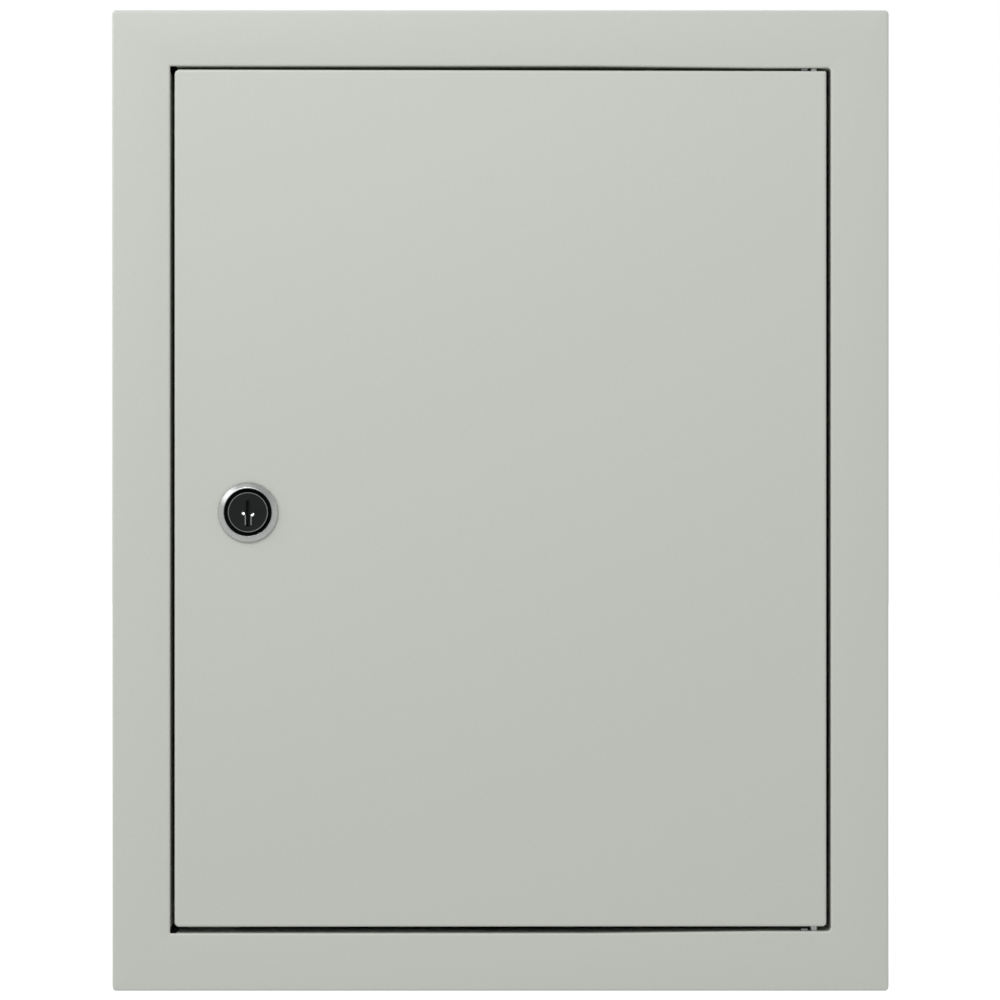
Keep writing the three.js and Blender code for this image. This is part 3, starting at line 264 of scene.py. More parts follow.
def piece(name, parts, body="cabinet", sharp=35.0, replaces=(), bevel=0.0):
    """One object from [(vertices, faces, material), ...], riding on a body. Lengths are in millimetres."""
    mesh = bpy.data.meshes.new(name)
    vertices, faces, marks, used = [], [], [], []
    for part_vertices, part_faces, material in parts:
        start = len(vertices)
        vertices += [Vector(v) * MM for v in part_vertices]
        faces += [[start + i for i in face] for face in part_faces]
        if material not in used:
            used.append(material)
        marks += [used.index(material)] * len(part_faces)
    mesh.from_pydata(vertices, [], faces)
    for material in used:
        mesh.materials.append(MAT[material])
    for polygon, mark in zip(mesh.polygons, marks):
        polygon.material_index = mark
    work = bmesh.new()
    work.from_mesh(mesh)
    bmesh.ops.remove_doubles(work, verts=work.verts, dist=1e-7)
    bmesh.ops.recalc_face_normals(work, faces=work.faces)
    work.to_mesh(mesh)
    work.free()
    mesh.shade_smooth()
    mesh.set_sharp_from_angle(angle=math.radians(sharp))
    made = bpy.data.objects.new(name, mesh)
    bpy.context.collection.objects.link(made)
    if bevel:
        add_bevel(made, bevel)
    if body:
        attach(made, body)
    if replaces:
        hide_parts(*replaces)
    return made


def add_bevel(made, width, segments=2, angle=30):
    bevel = made.modifiers.new("edges", "BEVEL")
    bevel.width = width * MM
    bevel.segments = segments
    bevel.limit_method = "ANGLE"
    bevel.angle_limit = math.radians(angle)
    bevel.harden_normals = True
    bevel.use_clamp_overlap = True
    bevel.miter_outer = "MITER_ARC"


def applied(made):
    """Turns the object's modifiers into its mesh."""
    graph = bpy.context.evaluated_depsgraph_get()
    mesh = bpy.data.meshes.new_from_object(made.evaluated_get(graph))
    made.modifiers.clear()
    made.data = mesh


def carve(made, cutters, sharp=35.0):
    """Cuts the parts in cutters out of the object. Each is (vertices, faces)."""
    for vertices, faces in cutters:
        mesh = bpy.data.meshes.new("cutter")
        mesh.from_pydata([Vector(v) * MM for v in vertices], [], faces)
        work = bmesh.new()
        work.from_mesh(mesh)
        bmesh.ops.recalc_face_normals(work, faces=work.faces)
        work.to_mesh(mesh)
        work.free()
        tool = bpy.data.objects.new("cutter", mesh)
        bpy.context.collection.objects.link(tool)
        cut = made.modifiers.new("cut", "BOOLEAN")
        cut.operation = "DIFFERENCE"
        cut.object = tool
        cut.solver = "EXACT"
        bpy.context.view_layer.update()
        applied(made)
        bpy.data.objects.remove(tool)
    made.data.set_sharp_from_angle(angle=math.radians(sharp))


def placed(shape, x=0.0, y=0.0, z=0.0, turn=None):
    """A shape moved, after turning it by a matrix about the origin."""
    vertices, faces = shape[:2]
    step = Vector((x, y, z))
    return [(turn @ Vector(v) if turn else Vector(v)) + step for v in vertices], faces


def grid_faces(rows, columns, closed=False):
    """The faces between rings of vertices, each of that many columns."""
    faces = []
    pairs = [(j, (j + 1) % columns) for j in range(columns)]
    for i in range(rows if closed else rows - 1):
        low, high = i * columns, ((i + 1) % rows) * columns
        faces += [(low + j, low + k, high + k, high + j) for j, k in pairs]
    return faces


def capped(rows, columns):
    """The same, with a cap at each end."""
    last = (rows - 1) * columns
    return [*grid_faces(rows, columns), tuple(range(columns)), tuple(range(last, last + columns))]


def lathe(profile, steps=28, closed=False):
    """A solid of revolution about y from (radius, y) pairs. Where it isn't closed, its ends are capped."""
    ways = circle(1.0, steps)
    vertices = [(r * u, y, r * v) for r, y in profile for u, v in ways]
    return vertices, grid_faces(len(profile), steps, True) if closed else capped(len(profile), steps)


def ring(inner, outer, start, end, steps=28):
    """A flat ring about y."""
    return lathe([(inner, start), (outer, start), (outer, end), (inner, end)], steps, closed=True)


def prism(outline, start, end, axis="y"):
    """An outline extruded along an axis. It is drawn in x and z for y, in y and z for x, in x and y for z."""
    orders = {"y": lambda u, v, w: (u, w, v), "x": lambda u, v, w: (w, u, v), "z": lambda u, v, w: (u, v, w)}
    vertices = [orders[axis](u, v, w) for w in (start, end) for u, v in outline]
    count = len(outline)
    faces = [(i, (i + 1) % count, count + (i + 1) % count, count + i) for i in range(count)]
    return vertices, faces + [tuple(range(count)), tuple(range(count, 2 * count))]


def block(x0, x1, y0, y1, z0, z1, edge=0.0):
    """A box whose edges are chamfered by edge all round."""
    if not edge:
        return prism([(x0, z0), (x1, z0), (x1, z1), (x0, z1)], y0, y1)
    made = bmesh.new()
    size = Vector((x1 - x0, y1 - y0, z1 - z0))
    centre = Vector((x0 + x1, y0 + y1, z0 + z1)) / 2
    bmesh.ops.create_cube(made, size=1.0, matrix=Matrix.Translation(centre) @ Matrix.Diagonal((*size, 1)))
    bmesh.ops.bevel(made, geom=made.edges[:], offset=edge, segments=2, profile=0.6, affect="EDGES")
    made.verts.ensure_lookup_table()
    shape = [v.co.copy() for v in made.verts], [[v.index for v in f.verts] for f in made.faces]
    made.free()
    return shape


def circle(radius, steps=32):
    return [(radius * math.cos(TAU * i / steps), radius * math.sin(TAU * i / steps)) for i in range(steps)]


def rod(radius, start, end, axis="y", steps=32):
    return prism(circle(radius, steps), start, end, axis)


def rounded(width, height, radius, u=0.0, v=0.0, steps=5):
    points = []
    for quarter, (sx, sy) in enumerate([(1, 1), (-1, 1), (-1, -1), (1, -1)]):
        cx, cy = u + sx * (width / 2 - radius), v + sy * (height / 2 - radius)
        for i in range(steps + 1):
            angle = (quarter + i / steps) * math.pi / 2
            points.append((cx + radius * math.cos(angle), cy + radius * math.sin(angle)))
    return points


def joined(shapes):
    """Several closed shapes that don't touch, as one."""
    vertices, faces = [], []
    for shape_vertices, shape_faces in shapes:
        start = len(vertices)
        vertices += list(shape_vertices)
        faces += [[start + i for i in face] for face in shape_faces]
    return vertices, faces


def together(material, *shapes):
    """Several shapes as parts of one piece in one material."""
    return [(*shape[:2], material) for shape in shapes]


# ---------------------------------------------------------------- folded sheet


CORNER_STEPS = 7
BEND_STEPS = 7


def rectangle(left, right, bottom, top):
    edges = {"left": left, "right": right, "top_left": top, "top_right": top}
    return edges | {"bottom_left": bottom, "bottom_right": bottom}


OUTWARD = rectangle(-1, 1, -1, 1)


def grown(rect, by):
    return {edge: place + OUTWARD[edge] * by for edge, place in rect.items()}


def loop(rect, radii, y, shoulders=None):
    """Points round a rectangle with rounded corners. Its top and bottom edges keep their left-hand
    height up to the first shoulder and have the right-hand one past the second."""
    edges = [("right", "top_right"), ("left", "top_left"), ("left", "bottom_left"), ("right", "bottom_right")]
    points = []
    for quarter, (side, end) in enumerate(edges):
        radius = radii[quarter]
        x = rect[side] + (radius if side == "left" else -radius)
        z = rect[end] + (radius if quarter > 1 else -radius)
        for i in range(CORNER_STEPS + 1):
            angle = (quarter + i / CORNER_STEPS) * math.pi / 2
            points.append((x + radius * math.cos(angle), y, z + radius * math.sin(angle)))
        if shoulders and quarter == 0:
            points += [(shoulders[1], y, rect["top_right"]), (shoulders[0], y, rect["top_left"])]
        if shoulders and quarter == 2:
            points += [(shoulders[0], y, rect["bottom_left"]), (shoulders[1], y, rect["bottom_right"])]
    return points


def bend(radius):
    """(inward, down) steps of a quarter bend, from along the flange to along the face."""
    steps = [i * math.pi / 2 / BEND_STEPS for i in range(BEND_STEPS + 1)]
    return [(radius * (1 - math.cos(a)), radius * (1 - math.sin(a))) for a in steps]


def tighter(radii, by):
    return [max(radius - by, 0.2) for radius in radii]


def pan(rect, front, depth, bend_radius, corners, sheet=SHEET):
    """A flat face at y = front with flanges folded back to front + depth."""

    def at(inward, down):
        return loop(grown(rect, -inward), tighter(corners, inward), front + down)

    outside = [at(i, d) for i, d in reversed([(0, depth), *bend(bend_radius)])]
    folded = [at(sheet + i, sheet + d) for i, d in [(0, depth - sheet), *bend(bend_radius - sheet)]]
    loops = outside + folded
    return [v for row in loops for v in row], capped(len(loops), len(loops[0]))


def trim_ring():
    """The trim's folded sheet: a rim round the outside, the face, and a collar into the opening."""
    outer = rectangle(-TRIM["x"], TRIM["x"], -TRIM["z"], TRIM["z"])

    def rim(inward, down):
        return loop(grown(outer, -inward), tighter([TRIM["corner"]] * 4, inward), FRONT + down, SHOULDERS)

    def collar(outward, down):
        return loop(grown(OPENING, outward), tighter(OPENING_CORNERS, -outward), FRONT + down, SHOULDERS)

    outside, folded = bend(TRIM["bend"]), bend(TRIM["bend"] - SHEET)
    loops = [rim(0, TRIM["rim"])]
    loops += [rim(i, d) for i, d in outside]
    loops += [collar(i, d) for i, d in reversed(bend(TRIM["collar_bend"]))]
    loops += [collar(0, TRIM["collar"]), collar(SHEET, TRIM["collar"])]
    loops += [collar(SHEET + i, SHEET + d) for i, d in folded]
    loops += [rim(SHEET + i, SHEET + d) for i, d in reversed(folded)]
    loops += [rim(SHEET, TRIM["rim"])]
    return [v for row in loops for v in row], grid_faces(len(loops), len(loops[0]), True)


# ---------------------------------------------------------------- trim and door

PIN_HOLE, RELIEF, PLUG = 2.1, 2.6, 2.55
trim = piece("trim_frame_finish", together("paint", trim_ring()), replaces=["trim_frame"])
carve(
    trim,
    [
        tool
        for z in (OPENING["top_right"], OPENING["bottom_right"])
        for tool in (
            placed(rod(PIN_HOLE, z - 4, z + 4, "z"), *HINGE),
            block(131.5, 134.9, FRONT + 2.3, FRONT + 7.1, z - 2, z + 2),
        )
    ]
    + [
        placed(rod(RELIEF, FRONT + 0.9, FRONT + 25), OPENING["left"], 0, OPENING[end])
        for end in ("top_left", "bottom_left")
    ],
)

# A black rubber plug fills the round notch in each of the collar's left corners: a dark piece that paints the
# shade in those corners.
plugs = []
for end, way in (("top_left", 1), ("bottom_left", -1)):
    arc = [math.radians(-84 + 258 * i / 20) for i in range(21)]
    outline = [(PLUG * math.cos(a), PLUG * math.sin(a)) for a in arc] + [(0.25, 0.25)]
    outline = [(OPENING["left"] - u, OPENING[end] + way * v) for u, v in outline]
    plugs.append(prism(outline, FRONT + 1.3, FRONT + 23.9))
piece("corner_shade_plugs", together("rubber", *plugs))

gussets = []
NOTCH = [6.5 * math.sin(i * math.pi / 16) for i in range(9)]
for sx in (-1, 1):
    side = "right" if sx > 0 else "left"
    for sz, z in ((1, OPENING["top_" + side]), (-1, OPENING["bottom_" + side])):
        x, z0 = sx * (OPENING["right"] + SHEET / 2), z + sz * SHEET / 2
        outline = [(x - sx * u, z0 - sz * v) for u, v in zip(NOTCH, reversed(NOTCH))]
        gussets.append(prism([*outline, (x - sx * 30, z0), (x, z0 - sz * 30)], FRONT + 22.5, FRONT + 24))
gusset_piece = piece("trim_gussets", together("paint", *gussets))
carve(
    gusset_piece,
    [placed(rod(3, -101, -93), sx * SCREW_X, 0, z) for sx in (-1, 1) for z in (SCREW_TOP, SCREW_BOTTOM)],
)
add_bevel(gusset_piece, 0.25)

door_sheet = together("paint", pan(DOOR, FRONT, DOOR_DEPTH, DOOR_BEND, DOOR_CORNERS))
door = piece("door_panel_finish", door_sheet, "door", replaces=["door_panel"])
LOCK_HOLE, LOCK_HOLE_FLAT = 10.1, 9.2
lock_outline = [(max(-LOCK_HOLE_FLAT, min(LOCK_HOLE_FLAT, u)), v) for u, v in circle(LOCK_HOLE, 64)]
lock_hole = prism(lock_outline, -3, 3)
carve(
    door,
    [
        placed(lock_hole, *LOCK),
        *[
            placed(rod(PIN_HOLE, z - 3, z + 3, "z"), *HINGE)
            for z in (DOOR["top_right"], DOOR["bottom_right"])
        ],
    ],
)


# ---------------------------------------------------------------- lock


def lock_barrel():
    """The bezel, the dark recess round the plug, and the barrel behind the door. The recess is black plastic,
    darkened further as painted shade.
    """
    recess = [(6.8, 0.9), (9.2, 0.9), (9.2, -0.6), (10.42, -0.6)]
    bezel = [(10.42, -2.35), (10.5, -2.55), (10.65, -2.6), (10.8, -2.57), (10.95, -2.48), (12.75, -1.25)]
    bezel += [(12.95, -1.08), (13.06, -0.9), (13.1, -0.7), (13.1, -0.3), (9.8, -0.3)]
    bezel += [(9.8, 24.1), (6.8, 24.1)]
    sides = 96
    vertices, faces = lathe(bezel + recess, sides, closed=True)
    # The recess faces take the near-black that paints shade over the black plastic there.
    first_dark = (len(bezel) - 1) * sides
    return [(vertices, faces[:first_dark], "nickel"), (vertices, faces[first_dark:], "void_black")]


barrel_parts = [(placed(part, *LOCK)[0], part[1], part[2]) for part in lock_barrel()]
barrel = piece("lock_barrel", barrel_parts, "door", replaces=["lock_body"])
carve(barrel, [placed(block(*flat, 0, 26, -12, 12), *LOCK) for flat in ((-12, -8.9), (8.9, 12))])

# The plug: a thin rim round a dark dished face with a keyway down the middle.
face = [(0.0001, -1.6), (1.6, -1.61), (3.2, -1.64), (4.8, -1.7), (6.2, -1.78), (7.4, -1.87), (8.3, -1.95)]
edge = [(8.42, -2.24), (8.6, -2.24), (8.75, -2.1), (8.8, -1.85), (8.8, 0.6), (6.5, 0.6), (6.5, 24.1)]
plug_vertices, plug_faces = lathe([*face, *edge, (0.0001, 24.1)], 96)
rim_start, rim_end = [(len(face) + k) * 96 for k in (-1, 3)]
plug_vertices = placed((plug_vertices, []), *LOCK)[0]
plug = piece(
    "lock_plug_finish",
    [
        (plug_vertices, plug_faces[:rim_start] + plug_faces[rim_end:], "black_chrome"),
        (plug_vertices, plug_faces[rim_start:rim_end], "steel"),
        (*placed(block(-3.5, 3.5, 24.0, 26.9, -3.5, 3.5, 0.3), *LOCK), "zinc"),
    ],
    "lock_core",
    replaces=["lock_plug"],
)
carve(plug, [placed(block(-0.83, 0.83, -4, 9, -6.2, 5.3), *LOCK)])


def capsule(radius, start, end, x, y, sides=12):
    """A round-ended bead standing along z."""
    rows = [(start - radius, 0.15), (start - 0.7 * radius, 0.72), (start, 1.0)]
    rows += [(end, 1.0), (end + 0.7 * radius, 0.72), (end + radius, 0.15)]
    vertices = [(x + k * u, y + k * v, z) for z, k in rows for u, v in circle(radius, sides)]
    return vertices, capped(len(rows), sides)


def low_dome(width, height, rise, sides=24):
    """A low oval dome facing forwards."""
    angles = [i * math.pi / 12 for i in range(7)]
    rows = [(1.0, -1.0), *[(max(math.cos(a), 0.01), math.sin(a)) for a in angles]]
    vertices = [(k * width * u, -rise * up, k * height * v) for k, up in rows for u, v in circle(1.0, sides)]
    return vertices, capped(len(rows), sides)


# Two shutter pins stand beside the slot. Each has a tilted polished facet on a round head, and
# beads run along the slot's edges above and below them.
FACET_TURN = Matrix.Rotation(math.radians(-6.7), 3, "Z") @ Matrix.Rotation(math.radians(-19), 3, "X")
facets, heads = [], []
for x, z, lean in ((-2.0, -0.5, -0.6), (2.0, -1.1, 0.6)):
    turn = FACET_TURN @ Matrix.Rotation(lean, 3, "Y")
    facets.append(placed(low_dome(0.66, 1.0, 0.12), LOCK[0] + x, FRONT - 1.95, LOCK[2] + z, turn))
    heads.append(placed(low_dome(0.95, 1.2, 0.36), LOCK[0] + x, FRONT - 1.6, LOCK[2] + z))
BEAD_Y = -1.62
upper_beads = [placed(capsule(0.22, -0.2, 5.0, x, BEAD_Y), *LOCK) for x in (-1.25, 1.3)]
lower_beads = [placed(capsule(0.28, -5.4, top, x, BEAD_Y), *LOCK) for x, top in ((-1.12, -1.6), (1.38, -2.1))]
pins = together("chrome", *facets) + together("steel", *lower_beads)
pins += together("black_chrome", *heads, *upper_beads)
piece("keyway_pins", pins, "lock_core")

# A ward runs back along each side of the slot.
wards = [block(-0.83, -0.35, 1.2, 8.9, -3.4, -2.5, 0.08), block(0.35, 0.83, 1.4, 8.9, 0.6, 1.5, 0.08)]
wards = together("black_chrome", *[placed(ward, *LOCK) for ward in wards])
piece("keyway_wards", wards, "lock_core")


# ---------------------------------------------------------------- carried-over CAD nodes


def carry(node, material, bevel=0.25, angle=35):
    """A CAD node in its finish, with its hard edges rounded."""
    made = frame["nodes"][node]
    made.data.materials.clear()
    made.data.materials.append(MAT[material])
    if bevel:
        weld = made.modifiers.new("weld", "WELD")
        weld.merge_threshold = 1e-6
        flat = made.modifiers.new("flat", "DECIMATE")
        flat.decimate_type = "DISSOLVE"
        flat.angle_limit = math.radians(1.0)
        add_bevel(made, bevel, 2, angle)
    return made


CARRIED = {
    ("zinc", 0): "backbox",
    ("zinc", 0.2): "top_plate bottom_plate chassis_plate battery_bracket",
    ("zinc", 0.15): "trim_screw_top_left trim_screw_top_right trim_screw_bottom_left trim_screw_bottom_right"
    " din_rail cam_screw",
    ("rubber", 0.2): "upper_door_buffer lower_door_buffer",
    ("steel", 0.3): "upper_hinge_lug lower_hinge_lug",
    ("nickel", 0.15): "upper_hinge_pin lower_hinge_pin",
    ("steel", 0.15): "key_switch_plug",
    ("steel", 0.25): "door_earth_nut box_earth_nut upper_left_pillar upper_right_pillar lower_left_pillar"
    " lower_right_pillar",
    ("zinc", 0.3): "lock_nut lock_cam",
    ("board", 0.1): "main_board display_board",
    ("black", 0.3): "buzzer fuse_holder",
    ("fascia", 0.2): "display_fascia",
    ("glass", 0.15): "lcd_screen",
    ("light_grey", 0.45): "silence_button reset_button",
    ("light_grey", 0.3): "fuse_lever",
    ("red", 0.45): "evacuate_button",
    ("yellow", 0.45): "test_button",
    ("chrome", 0.15): "key_switch_body",
}
for (material, bevel), nodes in CARRIED.items():
    for node in nodes.split():
        carry(node, material, bevel)


# ---------------------------------------------------------------- small hardware


def span(node):
    """A CAD node's box in millimetres, as x0, x1, y0, y1, z0, z1."""
    low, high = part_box(node)
    return [v / MM for pair in zip(low, high) for v in pair]


def facing(node):
    """A CAD node's width, height and middle, as x and z, seen from the front."""
    x0, x1, _, _, z0, z1 = span(node)
    return x1 - x0, z1 - z0, (x0 + x1) / 2, (z0 + z1) / 2


TO_SIDE = {way: Matrix.Rotation(way * math.pi / 2, 3, "Z") for way in (-1, 1)}
UPRIGHT = Matrix.Rotation(math.pi / 2, 3, "X")


def slotted_head(radius, height, x, y, z, angle=0.5, turn=None):
    """A slotted screw head seated at (x, y, z) and facing forwards, or the way that turn points it."""
    half = math.asin(0.2)
    arc = [half + (math.pi - 2 * half) * i / 8 for i in range(9)]
    cheek = prism([(radius * math.cos(a), radius * math.sin(a)) for a in arc], -height, -height * 0.5)
    shapes = [prism(circle(radius, 20), -height * 0.5, 0.0)]
    shapes += [placed(cheek, turn=Matrix.Rotation(angle + side, 3, "Y")) for side in (0, math.pi)]
    return [placed(shape, x, y, z, turn) for shape in shapes]


def slotted_heads(radius, height, y, places, most=math.pi):
    """Slotted heads at (x, z) places on a face at y, each turned at random by up to most."""
    return [s for x, z in places for s in slotted_head(radius, height, x, y, z, rng.uniform(0, most))]


def washer(radius, hole, thick, x, y, z, turn=None):
    return placed(ring(hole, radius, -thick, 0), x, y, z, turn)


# ---------------------------------------------------------------- grommets, chassis nuts, bracket screws

for side in ("left", "right"):
    x0, x1, y0, y1, z0, z1 = span("cable_grommet_" + side)
    outer, groove = (x1 - x0) / 2, 10.0
    profile = [(6.5, 3.2), (12.4, 3.2), (outer - 0.25, 2.9), (outer, 2.2), (outer, 0.5), (outer - 0.2, 0.3)]
    profile += [(groove, 0.3), (groove, -1.5), (12.3, -1.5), (12.6, -1.8), (12.6, -3.2), (12.2, -3.5)]
    profile += [(8.2, -4.4), (7.0, -4.4), (6.5, -4.0)]
    grommet = placed(lathe(profile, 64, closed=True), (x0 + x1) / 2, (y0 + y1) / 2, z1 - 3.2, UPRIGHT)
    name = "cable_grommet_" + side
    piece(name + "_finish", together("rubber", grommet), sharp=50, replaces=[name])

CHASSIS_FACE, STUD_X, STUD_INSET = -9.5, 130, 12
z0, z1 = span("chassis_plate")[4:]
nuts = [
    washer(radius, hole, thick, x, CHASSIS_FACE - lift, z)
    for x in (-STUD_X, STUD_X)
    for z in (z0 + STUD_INSET, z1 - STUD_INSET)
    for radius, hole, thick, lift in ((6.0, 2.8, 0.9, 0.1), (4.3, 2.6, 4.0, 1.1))
]
piece("chassis_nuts", together("steel", *nuts), bevel=0.2)

STRAP_SHEET, STRAP_SCREW_DEEP = 1.5, 6
x0, x1, y0, _, z0, z1 = span("battery_bracket")
screws = []
for way in (-1, 1):
    place = (way * ((x1 - x0) / 2 - STRAP_SHEET), y0 + STRAP_SCREW_DEEP, (z0 + z1) / 2)
    screws += slotted_head(3.6, 2.2, *place, 0.9, TO_SIDE[-way])
piece("bracket_screws", together("zinc", *screws), bevel=0.12)


# ---------------------------------------------------------------- terminal blocks


FIELD_WAYS = 20


def field_terminals(side):
    """A strip of twenty rising-clamp ways, each with its screw and its wire entry."""
    x0, x1, y0, y1, z0, z1 = span("field_terminals_" + side)
    depth, height, pitch = y1 - y0, z1 - z0, (x1 - x0) / FIELD_WAYS
    section = [(0, 0), (-0.62, 0), (-1, 0.45), (-1, 0.75), (-0.8, 1), (0, 1)]
    section = [(y1 + u * depth, z0 + v * height) for u, v in section]
    screw_z = z0 + 0.6 * height
    parts, cutters, screws = [], [], []
    for i in range(FIELD_WAYS):
        middle = x0 + (i + 0.5) * pitch
        parts.append(prism(section, middle - pitch / 2 + 0.06, middle + pitch / 2 - 0.06, "x"))
        cutters.append(placed(rod(1.65, -1, 2.2, steps=16), middle, y0, screw_z))
        cutters.append(block(middle - 1.9, middle + 1.9, y1 - 7.6, y1 - 3.6, z0 - 1, z0 + 6))
        screws += slotted_head(1.5, 1.0, middle, y0 + 1.6, screw_z, rng.uniform(0, math.pi))
    name = "field_terminals_" + side
    made = piece(name + "_body", together("terminal_green", *parts), replaces=[name])
    carve(made, [joined(cutters)])
    add_bevel(made, 0.18)
    piece(name + "_screws", together("tin", *screws))


for side in ("left", "right"):
    field_terminals(side)


def mains_terminals():
    """Five clip-on terminals: two for each pole and one for the protective earth."""
    x0, x1, y0, y1, z0, z1 = span("mains_terminals")
    half, depth, middle_z = (z1 - z0) / 2, y1 - y0, (z0 + z1) / 2
    colours = ["light_grey", "light_grey", "blue", "blue", "green_wire"]
    pitch = (x1 - x0) / len(colours)
    section = [(0, -1), (0.55, -1), (0.75, -0.7), (0.75, -0.35), (1, -0.3)]
    section += [(u, -v) for u, v in reversed(section)]
    section = [(y1 - u * depth, middle_z + v * half) for u, v in section]
    parts, cutters, screws, tags = [], [], [], []
    for i, colour in enumerate(colours):
        x = x0 + (i + 0.5) * pitch
        parts += together(colour, prism(section, x - pitch / 2 + 0.08, x + pitch / 2 - 0.08, "x"))
        tags.append(block(x - 2.2, x + 2.2, y0, y0 + 0.4, middle_z - 2.6, middle_z + 2.6, 0.12))
        for way in (-1, 1):
            screw = (x, y1 - 0.75 * depth, middle_z + way * 0.525 * half)
            cutters.append(placed(rod(2.3, -1, 2.5, steps=20), *screw))
            cutters.append(placed(rod(1.9, -3, 3, "z", 16), x, y1 - 0.3 * depth, middle_z + way * half))
            screws += slotted_heads(2.15, 1.2, screw[1] + 1.9, [(x, screw[2])])
            slot_z = middle_z + way * 4.3
            cutters.append(block(x - 1.1, x + 1.1, y0 - 1, y0 + 2, slot_z - 0.9, slot_z + 0.9))
    made = piece("mains_terminals_body", parts, replaces=["mains_terminals"])
    carve(made, [joined(cutters)])
    add_bevel(made, 0.22)
    piece("mains_terminals_screws", together("tin", *screws))
    piece("mains_terminals_tags", together("white", *tags))
    shoulder = y0 + 0.25 * depth
    yellow = [
        block(x1 - pitch + 0.9, x1 - 0.9, shoulder - 0.15, shoulder + 0.4, z, z + 2.2, 0.1)
        for z in (middle_z - 0.66 * half - 1.6, middle_z + 0.66 * half - 0.6)
    ]
    piece("earth_terminal_stripes", together("yellow_wire", *yellow))
    stop_x = (x0 - 6.6, x1 + 0.4)
    stops = [block(x, x + 6, y1 - 24, y1 + 0.1, middle_z - 19, middle_z + 19, 0.6) for x in stop_x]
    piece("rail_end_stops", together("grey", *stops))
    heads = [s for x in (x0 - 3.6, x1 + 3.4) for s in slotted_head(1.9, 1.1, x, y1 - 24, middle_z + 6, 0.7)]
    piece("rail_end_stop_screws", together("zinc", *heads), bevel=0.08)


mains_terminals()


def supply_terminals():
    """The supply's barrier strip: a clamp screw and a wire entry between each pair of walls."""
    x0, x1, y0, y1, z0, z1 = span("psu_terminals")
    ways, wall, base = 8, 1.6, y1 - 7.0
    pitch = (z1 - z0 - wall) / ways
    middles = [z0 + wall / 2 + (i + 0.5) * pitch for i in range(ways)]
    strip = together("black", block(x0, x1, base, y1, z0, z1))
    made = piece("psu_terminals_base", strip, replaces=["psu_terminals"])
    carve(made, [joined([placed(rod(1.7, -1, 4, steps=16), x0 + 4.5, base, z) for z in middles])])
    add_bevel(made, 0.3)
    starts = [z0 + i * pitch for i in range(ways + 1)]
    walls = [block(x0 + 0.1, x1 - 0.1, y0, base + 0.1, z, z + wall, 0.3) for z in starts]
    piece("psu_terminals_walls", together("black", *walls))
    screws = slotted_heads(2.1, 1.5, base, [(x1 - 2.9, z) for z in middles])
    plates = [block(x1 - 5.4, x1 - 0.4, base - 0.7, base, z - 3.0, z + 3.0, 0.1) for z in middles]
    piece("psu_terminals_screws", together("tin", *screws, *plates))


supply_terminals()


# ---------------------------------------------------------------- power supply


def supply_case():
    """A folded case with a perforated face and an open terminal bay down its right side."""
    x0, x1, y0, y1, z0, z1 = span("psu_case")
    case = together("zinc", pan(rectangle(x0, x1, z0, z1), y0, y1 - y0, 2.0, [1.6] * 4))
    made = piece("psu_case_finish", case, replaces=["psu_case"])
    bay, columns, rows, across = 15, 13, 11, 5.6
    hole = rod(2.0, -2, 4, steps=10)
    holes = [
        placed(hole, x0 + 16 + (i + (j % 2) / 2) * across, y0, z0 + 22 + j * across * 0.866)
        for j, i in product(range(rows), range(columns))
    ]
    slot = prism(rounded(2.6, 16, 1.25), -3, 4)
    slots = [placed(slot, x0 + 16 + k * 7, y0 + (y1 - y0) / 2, z1, UPRIGHT) for k in range(12)]
    carve(made, [block(x1 - bay, x1 + 2, y0 - 1, y0 + 25, z0 + 5, z1 - 5), joined(holes), joined(slots)])
    add_bevel(made, 0.15, 1)
    heads = slotted_heads(3.0, 1.7, y0, product((x0 + 7, x1 - 24), (z0 + 8, z1 - 8)))
    piece("psu_case_screws", together("zinc", *heads), bevel=0.12)
    floor = y1 - 1.0
    inner = [
        *together("board", block(x0 + 3, x1 - 28, floor - 1.6, floor, z0 + 3, z1 - 3)),
        *together("yellow", block(x0 + 52, x0 + 80, floor - 26, floor - 2, z0 + 36, z0 + 62, 1.0)),
        *together("chip", block(x0 + 48, x0 + 84, floor - 20, floor - 2, z0 + 32, z0 + 66, 0.6)),
        *together("tin", block(x0 + 12, x0 + 18, floor - 28, floor - 2, z0 + 14, z0 + 84, 0.4)),
        *together("orange", placed(ring(4, 9, -9, 0), x0 + 34, floor - 3, z0 + 70)),
    ]
    for x, z in ((x0 + 32, z0 + 26), (x0 + 32, z0 + 46), (x0 + 92, z0 + 60)):
        inner += capacitor(x, z, 8.0, 24, floor - 2)
    piece("psu_board", inner, bevel=0.1)
    label = block(x0 + 92, x1 - 20, y0 - 0.12, y0, z0 + 22, z1 - 22, 0.05)
    piece("psu_blank_label", together("paper", label))
    lens = lathe([(0.01, -1.4), (0.9, -1.2), (1.4, -0.5), (1.5, 0.2), (0.01, 0.2)], 24)
    piece("psu_lamp", together("green", placed(lens, x1 - 20, y0, z1 - 14)))


def capacitor(x, z, radius, height, base):
    """An electrolytic capacitor: a sleeved can standing on base, with its bare vented top."""
    sleeve = [(0.01, 0), (radius * 0.96, 0), (radius, -0.5), (radius * 0.94, -1.8), (radius, -2.6)]
    top, rim = -height, radius * 0.78
    sleeve += [(radius, top + 0.6), (radius * 0.93, top), (radius * 0.8, top), (0.01, top + 0.2)]
    can = lathe([(0.01, top - 0.01), (rim, top - 0.01), (rim, top + 0.5), (0.01, top + 0.5)])
    groove = block(-radius * 0.7, radius * 0.7, top - 0.02, top + 0.3, -0.15, 0.15)
    vents = [placed(groove, x, base, z, Matrix.Rotation(0.3 + a, 3, "Y")) for a in (0, math.pi / 2)]
    return [
        *together("chip", placed(lathe(sleeve), x, base, z)),
        *together("tin", placed(can, x, base, z)),
        *together("dull_steel", *vents),
    ]


supply_case()


# ---------------------------------------------------------------- main board components


LEG, FOOT = 0.36, 1.1


